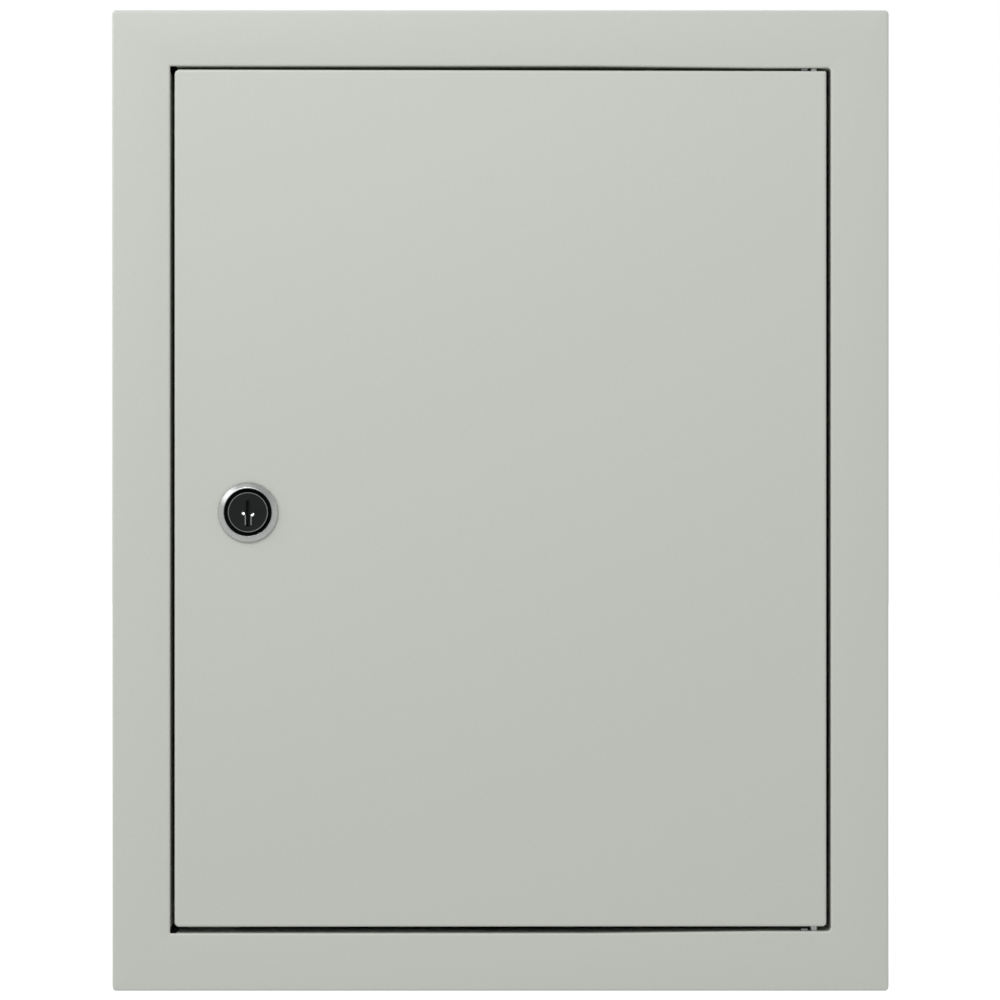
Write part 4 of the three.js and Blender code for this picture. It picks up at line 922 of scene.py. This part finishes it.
def chip(x, z, width, height, thick, pins, base, four_sides=False):
    """A surface-mounted chip with gull-wing legs."""
    left, low = x - width / 2, z - height / 2
    body = block(left, left + width, base - thick, base - 0.1, low, low + height, 0.2)
    dot = placed(rod(0.5, -0.02, 0.1, steps=16), left + 1.2, base - thick, low + height - 1.2)
    legs = []
    for k in range(pins):
        step = (k - (pins - 1) / 2) * 0.85 * width / pins
        for way in (-1, 1):
            out = sorted(z + way * (height / 2 + u) for u in (0, FOOT))
            legs.append(block(x + step - LEG / 2, x + step + LEG / 2, base - 0.3, base, *out))
            if four_sides:
                out = sorted(x + way * (width / 2 + u) for u in (0, FOOT))
                legs.append(block(*out, base - 0.3, base, z + step - LEG / 2, z + step + LEG / 2))
    return together("chip", body) + together("dull_steel", dot) + together("tin", *legs)


def board_parts():
    """The components on the strip of board that shows below the display."""
    _, _, base, _, z0, z1 = span("main_board")
    parts = []
    for i in range(4):
        x = -104 + 17.5 * i
        parts += together("blue", block(x - 7.6, x + 7.6, base - 11.5, base - 0.2, 54, 66.5, 0.5))
        parts += together("white", block(x - 6, x + 6, base - 11.6, base - 11.3, 56, 64.5, 0.1))
    for x, z, radius, height in ((-28, 59, 5, 14), (-15.5, 59, 5, 14), (-22, 71, 4, 10), (62, 74, 4, 10)):
        parts += capacitor(x, z, radius, height, base)
    parts += chip(4, 66, 14, 14, 1.5, 14, base, four_sides=True)
    for x, z, width, height, pins in (
        (24, 71, 10, 4, 8),
        (38, 71, 10, 4, 8),
        (-88, 73.5, 12, 4.4, 10),
        (-106, 73.5, 12, 4.4, 10),
    ):
        parts += chip(x, z, width, height, 1.4, pins, base)
    parts += together("tin", placed(prism(rounded(11, 4.4, 2.1), -3.4, 0), 22, base, 60))
    parts += together("red", block(33, 46, base - 3.2, base, 56, 62, 0.3))
    for k in range(5):
        x, z = 34.2 + 2.3 * k, 57.4 + (k % 2) * 1.6
        parts += together("white", block(x, x + 1.4, base - 4, base - 3, z, z + 1.6))
    fuse_x, fuse_y = 63, base - 4.2
    clip_x = (fuse_x - 9, fuse_x + 9)
    for z in (54.5, 61.5):
        glass = placed(rod(2.4, -9, 9, "x", 24), fuse_x, fuse_y, z)
        caps = [placed(rod(2.6, u - 2, u + 2, "x", 24), fuse_x, fuse_y, z) for u in (-8.5, 8.5)]
        clips = [block(x - 1.6, x + 1.6, base - 5, base, z - 3.1, z + 3.1, 0.3) for x in clip_x]
        parts += together("white", glass) + together("tin", *caps, *clips)
    parts += together("black", block(-68, -38, base - 5, base, 72.6, 79.4, 0.4))
    parts += together("black", block(74, 84, base - 2.5, base, 53.5, 56, 0.2))
    pin_places = [74.9 + 2.54 * k for k in range(4)]
    parts += together("gold", *[block(x, x + 0.6, base - 8.4, base - 2.5, 54.4, 55) for x in pin_places])
    for k in range(6):
        lens = lathe([(0.01, -2.6), (0.9, -2.3), (1.4, -1.4), (1.5, 0), (0.01, 0)], 20)
        parts += together("red" if k % 3 else "green", placed(lens, -112 + 5.3 * k, base, 51.6))
    for row, column in product(range(2), range(23)):
        x, z = -100 + column * 9.0 + rng.uniform(-2, 2), (51.4, 78.6)[row] + rng.uniform(-0.3, 0.3)
        if row == 0 and x < -80 or row == 1 and (-70 < x < -36 or x > 84):
            continue
        half = rng.choice((1.6, 2.0, 3.2)) / 2
        colour = rng.choice(("chip", "chip", "orange"))
        ends = [block(u - 0.3, u + 0.3, base - 0.75, base, z - 0.62, z + 0.62) for u in (x - half, x + half)]
        parts += together(colour, block(x - half, x + half, base - 0.7, base, z - 0.6, z + 0.6))
        parts += together("tin", *ends)
    piece("main_board_components", parts)
    heads = slotted_heads(3.0, 1.8, base, product((-119, 119), (z0 + 6, z1 - 6)), most=3)
    piece("main_board_screws", together("zinc", *heads), bevel=0.1)
    left_marks = product([(-124, -113)], (50.2, 170))
    right_marks = product([(115, 123)], (50.2, 90, 130, 170))
    marks = [block(*ends, base - 0.03, base, z, z + 0.3) for ends, z in (*left_marks, *right_marks)]
    piece("main_board_legend", together("paper", *marks))


board_parts()

x0, x1, y0, _, z0, z1 = span("buzzer")
ribs = [placed(ring(r, r + 0.45, -0.3, 0.4, 48), (x0 + x1) / 2, y0, (z0 + z1) / 2) for r in (4.6, 6.4, 8.2)]
piece("buzzer_ribs", together("chip", *ribs))


# ---------------------------------------------------------------- display and controls

FACE = span("display_fascia")[2]
FILM, BUTTON_FLANGE = 0.22, 4
BUTTONS = {"silence": "yellow", "reset": "green", "evacuate": "red", "test": "yellow"}
LCD_X, LCD_Z = facing("lcd_screen")[2:]
KEY_WIDTH, _, KEY_X, KEY_Z = facing("key_switch_body")


def overlay():
    """The film over the fascia, cut out for the window, the buttons and the key switch."""
    width, height, _, z = facing("display_fascia")
    sheet = placed(prism(rounded(width - 8, height - 8, 3), -FILM, 0), 0, FACE, z)
    film = piece("fascia_overlay", together("overlay", sheet))
    cutters = [placed(prism(rounded(80.6, 28.6, 1.8), -1, 1), LCD_X, FACE, LCD_Z)]
    for name in BUTTONS:
        width, height, x, z = facing(name + "_button")
        size = (width - BUTTON_FLANGE + 0.8, height - BUTTON_FLANGE + 0.8)
        cutters.append(placed(prism(rounded(*size, 1.6), -1, 1), x, FACE, z))
    cutters.append(placed(rod(KEY_WIDTH / 2 + 0.4, -1, 1, steps=48), KEY_X, FACE, KEY_Z))
    carve(film, [joined(cutters)])


overlay()

screen_front = span("lcd_screen")[2]
border = placed(prism(rounded(79, 27, 1.0), screen_front - 0.35, screen_front - 0.02), LCD_X, 0, LCD_Z)
window = piece("lcd_bezel", together("black", border))
carve(window, [placed(prism(rounded(70, 19, 0.8), -1, 1), LCD_X, screen_front, LCD_Z)])


def legends():
    """Two columns of zone lamps with a blank writing strip beside each, and a lamp over each button."""
    face = FACE - FILM
    slots = {"red": "red_plastic", "yellow": "yellow_plastic", "green": "terminal_green"}
    lens = lathe([(0.01, -1.5), (0.9, -1.3), (1.5, -0.6), (1.6, 0.3), (0.01, 0.3)])
    places, strips = [], []
    for x, row in product((12, 61), range(6)):
        z = 172.5 - 9.2 * row
        places.append((x, z, "red" if row < 4 else "yellow"))
        strips.append(placed(prism(rounded(36, 6.2, 0.8), -0.1, 0), x + 23, face, z))
    for name, colour in BUTTONS.items():
        _, height, x, z = facing(name + "_button")
        places.append((x, z + height / 2 + 4.2, colour))
        strips.append(placed(prism(rounded(18, 3.6, 0.6), -0.1, 0), x, face, z - height / 2 - 1.4))
    for colour, slot in slots.items():
        lenses = [placed(lens, x, face, z) for x, z, shade in places if shade == colour]
        piece(f"indicator_lamps_{colour}", together(colour, *lenses))
    wells = [placed(ring(1.75, 2.5, -0.25, 0.2), x, face, z) for x, z, _ in places]
    piece("indicator_wells", together("black", *wells), bevel=0.08)
    piece("blank_legends", together("paper", *strips))
    tick = block(-0.35, 0.35, -0.12, 0, 11.4, 14.4)
    ticks = [placed(tick, KEY_X, face, KEY_Z, Matrix.Rotation(a, 3, "Y")) for a in (0, -math.pi / 2)]
    piece("key_switch_marks", together("black", *ticks))


legends()

for name in BUTTONS:
    width, _, x, z = facing(name + "_button")
    front = span(name + "_button")[2] + 0.02
    rib = prism(rounded(width - BUTTON_FLANGE - 4, 0.7, 0.3), -0.18, 0.2)
    ribs = [placed(rib, x, front, z + step) for step in (-2.4, 0, 2.4)]
    colour = {"evacuate": "red", "test": "yellow"}.get(name, "light_grey")
    piece(name + "_button_ribs", together(colour, *ribs), name + "_cap", bevel=0.08)

fascia_screws = slotted_heads(2.6, 1.2, FACE - FILM, product((-106, 106), (87, 177)))
piece("fascia_screws", together("zinc", *fascia_screws), bevel=0.08)


# ---------------------------------------------------------------- fuse

x0, x1, y0, _, z0, z1 = span("fuse_lever")
middle, fuse_y = (x0 + x1) / 2, y0 + 10.6
caps = [placed(rod(2.45, z0 + a, z0 + b, "z", 28), middle, fuse_y, 0) for a, b in ((12.2, 17), (29, 33.8))]
cartridge = together("white", placed(rod(2.3, z0 + 13.5, z0 + 32.5, "z", 28), middle, fuse_y, 0))
cartridge += together("tin", *caps)
piece("cartridge_fuse", cartridge, "fuse_carrier")
tag = block(middle - 2.6, middle + 2.6, y0, y0 + 0.3, z1 - 5.0, z1 - 1.4, 0.1)
piece("fuse_lever_tag", together("paper", tag), "fuse_carrier")


# ---------------------------------------------------------------- batteries


TAB_Y = -60.0


def battery(side):
    """A sealed lead-acid battery: case, lid, six valve plugs, a blank label and two insulated tabs."""
    x0, x1, y0, y1, z0, z1 = span("battery_" + side)
    tab, lid, radius = 6.0, 10.0, 2.0
    x, y, top, name = (x0 + x1) / 2, (y0 + y1) / 2, z1 - tab, "battery_" + side

    def layer(inset, low, high):
        return prism(rounded(x1 - x0 - inset, y1 - y0 - inset, radius, x, y), low, high, "z")

    terminals = [(colour, x + way * ((x1 - x0) / 2 - 9)) for colour, way in (("red", -1), ("chip", 1))]
    tabs = [block(u - 2.4, u + 2.4, TAB_Y - 0.4, TAB_Y + 0.4, top - 1, z1, 0.1) for _, u in terminals]
    pads = []
    for colour, u in terminals:
        pads += together(colour, block(u - 5, u + 5, TAB_Y - 4, TAB_Y + 4, top - 0.9, top + 0.5, 0.3))
    plug = prism(circle(5.6, 28), 0, 1)
    downward = Matrix.Rotation(-math.pi / 2, 3, "X")
    plugs = [placed(plug, x + (k - 2.5) * 17, y + 8, top - 0.55, downward) for k in range(6)]
    parts = together("battery", layer(0, z0, top - lid - 0.35))
    # The seam between case and lid is near-black: painted shade.
    parts += together("void_black", layer(1.6, top - lid - 0.5, top - lid + 0.1))
    parts += together("battery_lid", layer(0, top - lid, top - 0.7), layer(6, top - 0.8, top), *plugs)
    made = piece(name + "_finish", parts + together("tin", *tabs), replaces=[name])
    add_bevel(made, 0.5)
    piece(name + "_pads", pads)
    panel = block(x - 52, x + 52, y0 - 0.12, y0 + 0.1, z0 + 8, z0 + 48, 0.05)
    bands = [block(x - 52, x + 52, y0 - 0.16, y0 - 0.1, z0 + low, z0 + low + 5) for low in (8, 43)]
    piece(name + "_label", together("paper", panel) + together("grey", *bands))


for side in ("left", "right"):
    battery(side)


# ---------------------------------------------------------------- leads


def smooth_path(points, steps=8):
    """A centripetal curve through the given points."""
    path = [Vector(p) for p in points]
    path = [2 * path[0] - path[1], *path, 2 * path[-1] - path[-2]]
    made = []
    for a, b, c, d in zip(path, path[1:], path[2:], path[3:]):
        t = [0.0]
        for p, q in ((a, b), (b, c), (c, d)):
            t.append(t[-1] + max((q - p).length, 1e-6) ** 0.5)
        for k in range(steps):
            s = t[1] + (t[2] - t[1]) * k / steps
            a1 = a.lerp(b, s / t[1])
            a2 = b.lerp(c, (s - t[1]) / (t[2] - t[1]))
            a3 = c.lerp(d, (s - t[2]) / (t[3] - t[2]))
            b1 = a1.lerp(a2, s / t[2])
            b2 = a2.lerp(a3, (s - t[1]) / (t[3] - t[1]))
            made.append(b1.lerp(b2, (s - t[1]) / (t[2] - t[1])))
    return [*made, path[-2]]


def tube(path, radius, sides=16):
    """A round tube along a path, its section carried from point to point without twisting.
    radius is a number, or a list with one for each point."""
    radii = radius if isinstance(radius, list) else [radius] * len(path)
    tangents = [(b - a).normalized() for a, b in zip([path[0], *path], [*path[1:], path[-1]])]
    side = tangents[0].orthogonal().normalized()
    vertices = []
    for point, tangent, size in zip(path, tangents, radii):
        side = (side - tangent * side.dot(tangent)).normalized()
        up = tangent.cross(side)
        vertices += [point + size * (u * side + v * up) for u, v in circle(1.0, sides)]
    return vertices, capped(len(path), sides)


def sleeve(path, length, radius, from_end=False):
    """A round sleeve over the first stretch of a path, or its last, with rounded ends."""
    points = list(reversed(path)) if from_end else list(path)
    run, kept = 0.0, [points[0]]
    for p, q in zip(points, points[1:]):
        run += (q - p).length
        kept.append(q)
        if run > length:
            break
    size = [radius] * len(kept)
    size[0] = size[-1] = radius * 0.8
    return tube(kept, size)


FIELD = {side: span("field_terminals_" + side) for side in ("left", "right")}
BATTERY_TOP = span("battery_left")[5]
_, _, STRIP_X, STRIP_Z = facing("psu_terminals")
STRIP_Y = span("psu_terminals")[3]
MAINS = span("mains_terminals")
WAY = (MAINS[1] - MAINS[0]) / 5


def field_entry(side, way):
    """The mouth of one field terminal's wire entry."""
    x0, x1, _, y1, z0, _ = FIELD[side]
    return x0 + (way + 0.5) * (x1 - x0) / FIELD_WAYS, y1 - 5.6, z0 - 0.3


def mains_entry(way):
    return MAINS[0] + (way + 0.5) * WAY, MAINS[3] - 12, MAINS[4] - 0.6


OUTER_TAB, INNER_TAB, TAB_TOP = 142.8, 9.8, BATTERY_TOP + 0.3
LEADS = {
    "battery_link": ("black_wire", 3.2, [
        (-INNER_TAB, TAB_Y, TAB_TOP),
        (-INNER_TAB + 0.5, TAB_Y - 0.5, TAB_TOP + 9),
        (0, TAB_Y - 1.5, TAB_TOP + 15),
        (INNER_TAB - 0.5, TAB_Y - 0.5, TAB_TOP + 9),
        (INNER_TAB, TAB_Y, TAB_TOP),
    ]),
    "battery_lead_positive": ("red_wire", 3.2, [
        (-OUTER_TAB, TAB_Y, TAB_TOP),
        (-OUTER_TAB - 1, TAB_Y, -82),
        (-148.5, -52, -55),
        (-149, -42, -10),
        (-146, -34, 16),
        (-130, -30, 24),
        (field_entry("left", 1)[0] - 3, -29.8, 27),
        field_entry("left", 1),
    ]),
    "battery_lead_negative": ("black_wire", 3.2, [
        (OUTER_TAB, TAB_Y, TAB_TOP),
        (OUTER_TAB + 1, TAB_Y, -82),
        (148.5, -52, -55),
        (149, -42, -10),
        (146, -34, 16),
        (130, -30, 24),
        (field_entry("right", 18)[0] + 3, -29.8, 27),
        field_entry("right", 18),
    ]),
    "psu_lead_positive": ("red_wire", 2.6, [
        (STRIP_X - 0.5, STRIP_Y - 7.3, STRIP_Z + 33),
        (STRIP_X, STRIP_Y - 14, STRIP_Z + 34),
        (STRIP_X - 2, STRIP_Y - 26, STRIP_Z + 41),
        (STRIP_X - 11, -50, 12),
        (STRIP_X - 30, -38, 19.5),
        (field_entry("left", 5)[0] + 3, -31, 25),
        field_entry("left", 5),
    ]),
    "psu_lead_negative": ("black_wire", 2.6, [
        (STRIP_X - 0.5, STRIP_Y - 7.3, STRIP_Z + 23.5),
        (STRIP_X + 1, STRIP_Y - 14, STRIP_Z + 25),
        (STRIP_X + 4, STRIP_Y - 26, STRIP_Z + 36),
        (STRIP_X, -51, 10),
        (STRIP_X - 8, -47, 20),
        (STRIP_X - 24, -37, 27),
        (field_entry("left", 7)[0] + 3, -31, 30),
        field_entry("left", 7),
    ]),
    "mains_lead_live": ("brown_wire", 2.6, [
        mains_entry(3),
        (mains_entry(3)[0] - 1, MAINS[3] - 14, MAINS[4] - 13),
        (24, -38, -84),
        (6, -48, -82),
        (STRIP_X + 3, STRIP_Y - 22, STRIP_Z - 35),
        (STRIP_X, STRIP_Y - 13, STRIP_Z - 33.5),
        (STRIP_X - 0.5, STRIP_Y - 7.3, STRIP_Z - 33),
    ]),
    "mains_lead_neutral": ("blue_wire", 2.6, [
        mains_entry(2),
        (mains_entry(2)[0] - 1.5, MAINS[3] - 14, MAINS[4] - 9),
        (22, -40, -75),
        (8, -50, -72),
        (STRIP_X + 4, STRIP_Y - 22, STRIP_Z - 24),
        (STRIP_X, STRIP_Y - 13, STRIP_Z - 23.8),
        (STRIP_X - 0.5, STRIP_Y - 7.3, STRIP_Z - 23.5),
    ]),
}


def disconnect(x, colour):
    """An insulated push-on connector over a battery tab."""
    body = block(x - 3.5, x + 3.5, TAB_Y - 1.6, TAB_Y + 1.6, TAB_TOP - 5.6, TAB_TOP + 1.6, 0.7)
    return together(colour, body)


for name, (material, diameter, points) in LEADS.items():
    path = smooth_path(points)
    parts = together(material, tube(path, diameter / 2))
    if name.startswith("battery"):
        parts += together("red" if "positive" in name else "blue", sleeve(path, 7, diameter / 2 + 0.6))
        parts += disconnect(points[0][0], "red" if "positive" in name else "blue")
    if name == "battery_link":
        parts += together("blue", sleeve(path, 7, diameter / 2 + 0.6, True))
        parts += disconnect(points[-1][0], "blue")
    else:
        end = "white" if diameter < 3 else ("red" if "positive" in name else "black")
        parts += together(end, sleeve(path, 4.5, diameter / 2 + 0.45, True))
        if diameter < 3:
            parts += together(end, sleeve(path, 4.5, diameter / 2 + 0.45))
    piece(name + "_wire", parts, sharp=50, replaces=[name])


# The earth lead runs from a stud on the door to one on the box's side.
EARTH_Z, EARTH_DOOR_Z, EARTH_X = -92.0, -110.0, 118.0
EARTH = [
    (EARTH_X, FRONT + 4, EARTH_DOOR_Z - 6),
    (EARTH_X + 0.5, FRONT + 6.5, EARTH_DOOR_Z - 14),
    (EARTH_X + 4, FRONT + 14, EARTH_DOOR_Z - 24),
    (EARTH_X + 10, FRONT + 22, EARTH_DOOR_Z - 29),
    (EARTH_X + 17, FRONT + 30, EARTH_DOOR_Z - 26),
    (EARTH_X + 24, FRONT + 36, EARTH_DOOR_Z - 13),
    (147, FRONT + 39, EARTH_Z - 16),
    (148, FRONT + 40, EARTH_Z - 6.5),
]
sides = 20
vertices, faces = tube(smooth_path(EARTH, 14), 2.0, sides)


def striped(face):
    """Two yellow stripes wind slowly round the green lead."""
    ring, side = divmod(face[0], sides)
    return (side + ring // 4) % (sides // 2) < 3


yellow = [f for f in faces if striped(f)]
green = [f for f in faces if not striped(f)]
earth = piece(
    "earth_lead_wire",
    [(vertices, green, "green_wire"), (vertices, yellow, "yellow_wire")],
    body=None,
    sharp=50,
    replaces=["earth_lead"],
)
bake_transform(earth)


def ring_terminal(name, body, eye, neck, barrel_place):
    """A crimped ring terminal at the lead's end: the eye, its neck and an insulated barrel."""
    barrel = lathe([(0.01, -4.5), (2.3, -4.5), (2.5, -4.0), (2.5, 4.0), (2.3, 4.5), (0.01, 4.5)], 20)
    parts = together("tin", eye, neck) + together("blue", placed(barrel, *barrel_place, UPRIGHT))
    piece(name, parts, body)


EYE = (4.6, 2.7, 0.8)
ring_terminal(
    "earth_ring_at_door",
    "door",
    washer(*EYE, EARTH_X, FRONT + 4.0, EARTH_DOOR_Z),
    block(EARTH_X - 1.6, EARTH_X + 1.6, FRONT + 3.2, FRONT + 4.0, EARTH_DOOR_Z - 5.5, EARTH_DOOR_Z - 3.2),
    (EARTH_X, FRONT + 4.2, EARTH_DOOR_Z - 8.4),
)
ring_terminal(
    "earth_ring_at_box",
    "cabinet",
    washer(*EYE, 150.6, FRONT + 40, EARTH_Z, TO_SIDE[-1]),
    block(149.6, 150.9, FRONT + 38.4, FRONT + 41.6, EARTH_Z - 6, EARTH_Z - 3.6),
    (148.2, FRONT + 40, EARTH_Z - 9.0),
)


def ribbon():
    """A flat cable of twenty conductors side by side, in the ribbon's S."""
    x0, x1, y0, y1, z0, z1 = span("ribbon_cable")
    a, d = Vector((0, y0, z1 - 0.6)), Vector((0, y1, z0 + 0.6))
    b, c = a + Vector((0, 14, 0)), d - Vector((0, 14, 0))
    times = [k / 24 for k in range(25)]
    route = [(1 - t) ** 3 * a + 3 * t * (1 - t) ** 2 * b + 3 * t * t * (1 - t) * c + t**3 * d for t in times]
    count = 20
    pitch = (x1 - x0) / count
    parts = []
    for i in range(count):
        x = x0 + (i + 0.5) * pitch
        core = tube([Vector((x, p.y, p.z)) for p in route], pitch / 2, 8)
        parts += together("grey_wire" if i else "red_wire", core)
    parts += together("black", block(x0 - 2, x1 + 2, y0 - 0.2, y0 + 4.5, z1 - 4.6, z1 + 2.4, 0.4))
    piece("ribbon_cable_cores", parts, sharp=60, replaces=["ribbon_cable"])


ribbon()


# ---------------------------------------------------------------- stage, lights and camera


def stage():
    """A pale floor under the object, which lights nothing."""
    half, z = 6.0, -TRIM["z"] * MM
    mesh = bpy.data.meshes.new("floor")
    corners = [(-half, -half, z), (half, -half, z), (half, half, z), (-half, half, z)]
    mesh.from_pydata(corners, [], [(0, 1, 2, 3)])
    pale = bpy.data.materials.new("pale_floor")
    pale.use_nodes = True
    shader = pale.node_tree.nodes["Principled BSDF"]
    shader.inputs["Base Color"].default_value = (0.9, 0.9, 0.9, 1)
    shader.inputs["Roughness"].default_value = 0.9
    shader.inputs["Emission Color"].default_value = (1, 1, 1, 1)
    shader.inputs["Emission Strength"].default_value = 0.75
    mesh.materials.append(pale)
    floor = bpy.data.objects.new("floor", mesh)
    bpy.context.collection.objects.link(floor)
    floor.visible_diffuse = False
    floor.visible_glossy = False


def area_light(name, place, aim, size, watts):
    data = bpy.data.lights.new(name, "AREA")
    data.shape = "DISK"
    data.size = size
    data.energy = watts
    made = bpy.data.objects.new(name, data)
    made.location = place
    made.rotation_euler = (Vector(aim) - Vector(place)).to_track_quat("-Z", "Y").to_euler()
    bpy.context.collection.objects.link(made)


WORLD_FRONT, WORLD_SIDE, WORLD_TOP = 0.556, 0.95, 0.58


def world():
    """Plain studio surroundings: paler at the sides than in front, and white behind the object."""
    made = bpy.data.worlds.new("studio")
    made.use_nodes = True
    tree = made.node_tree
    tree.nodes.clear()
    link = tree.links.new

    def shade(component, start, end, low, high):
        ramp = tree.nodes.new("ShaderNodeMapRange")
        for value, socket in zip((start, end, low, high), ("From Min", "From Max", "To Min", "To Max")):
            ramp.inputs[socket].default_value = value
        link(parts.outputs[component], ramp.inputs["Value"])
        return ramp.outputs["Result"]

    place = tree.nodes.new("ShaderNodeTexCoord")
    parts = tree.nodes.new("ShaderNodeSeparateXYZ")
    link(place.outputs["Generated"], parts.inputs[0])
    strength = tree.nodes.new("ShaderNodeMath")
    strength.operation = "MULTIPLY"
    link(shade("Y", -1.0, -0.1, WORLD_FRONT, WORLD_SIDE), strength.inputs[0])
    link(shade("Z", 0.0, 1.0, 1.0, WORLD_TOP), strength.inputs[1])
    light, seen = [tree.nodes.new("ShaderNodeBackground") for _ in range(2)]
    link(strength.outputs[0], light.inputs["Strength"])
    for background in (light, seen):
        background.inputs["Color"].default_value = (1, 1, 1, 1)
    path = tree.nodes.new("ShaderNodeLightPath")
    mix = tree.nodes.new("ShaderNodeMixShader")
    link(path.outputs["Is Camera Ray"], mix.inputs["Fac"])
    link(light.outputs[0], mix.inputs[1])
    link(seen.outputs[0], mix.inputs[2])
    link(mix.outputs[0], tree.nodes.new("ShaderNodeOutputWorld").inputs[0])
    bpy.context.scene.world = made


world()
stage()
area_light("key", (-0.35, -1.3, 1.05), (0, FRONT * MM, 0.0), 1.0, 10.0)
area_light("left_rim", (-1.0, -0.62, 0.72), (LOCK[0] * MM, FRONT * MM, 0.0), 0.8, 2.8)

# The camera looks straight at the trim's face, which it sees VIEW_WIDTH metres of.
LENS, SENSOR, VIEW_WIDTH = 135.0, 36.0, 0.4376
camera_data = bpy.data.cameras.new("camera")
camera_data.lens = LENS
camera_data.sensor_width = SENSOR
camera_data.clip_start = 0.05
camera_data.clip_end = 100.0
camera = bpy.data.objects.new("camera", camera_data)
bpy.context.collection.objects.link(camera)
camera.location = (-0.0002, FRONT * MM - VIEW_WIDTH * LENS / SENSOR, 0.00028)
camera.rotation_euler = (math.pi / 2, 0, 0)
bpy.context.scene.camera = camera
bpy.context.scene.view_settings.view_transform = "Standard"
bpy.context.scene.view_settings.look = "None"
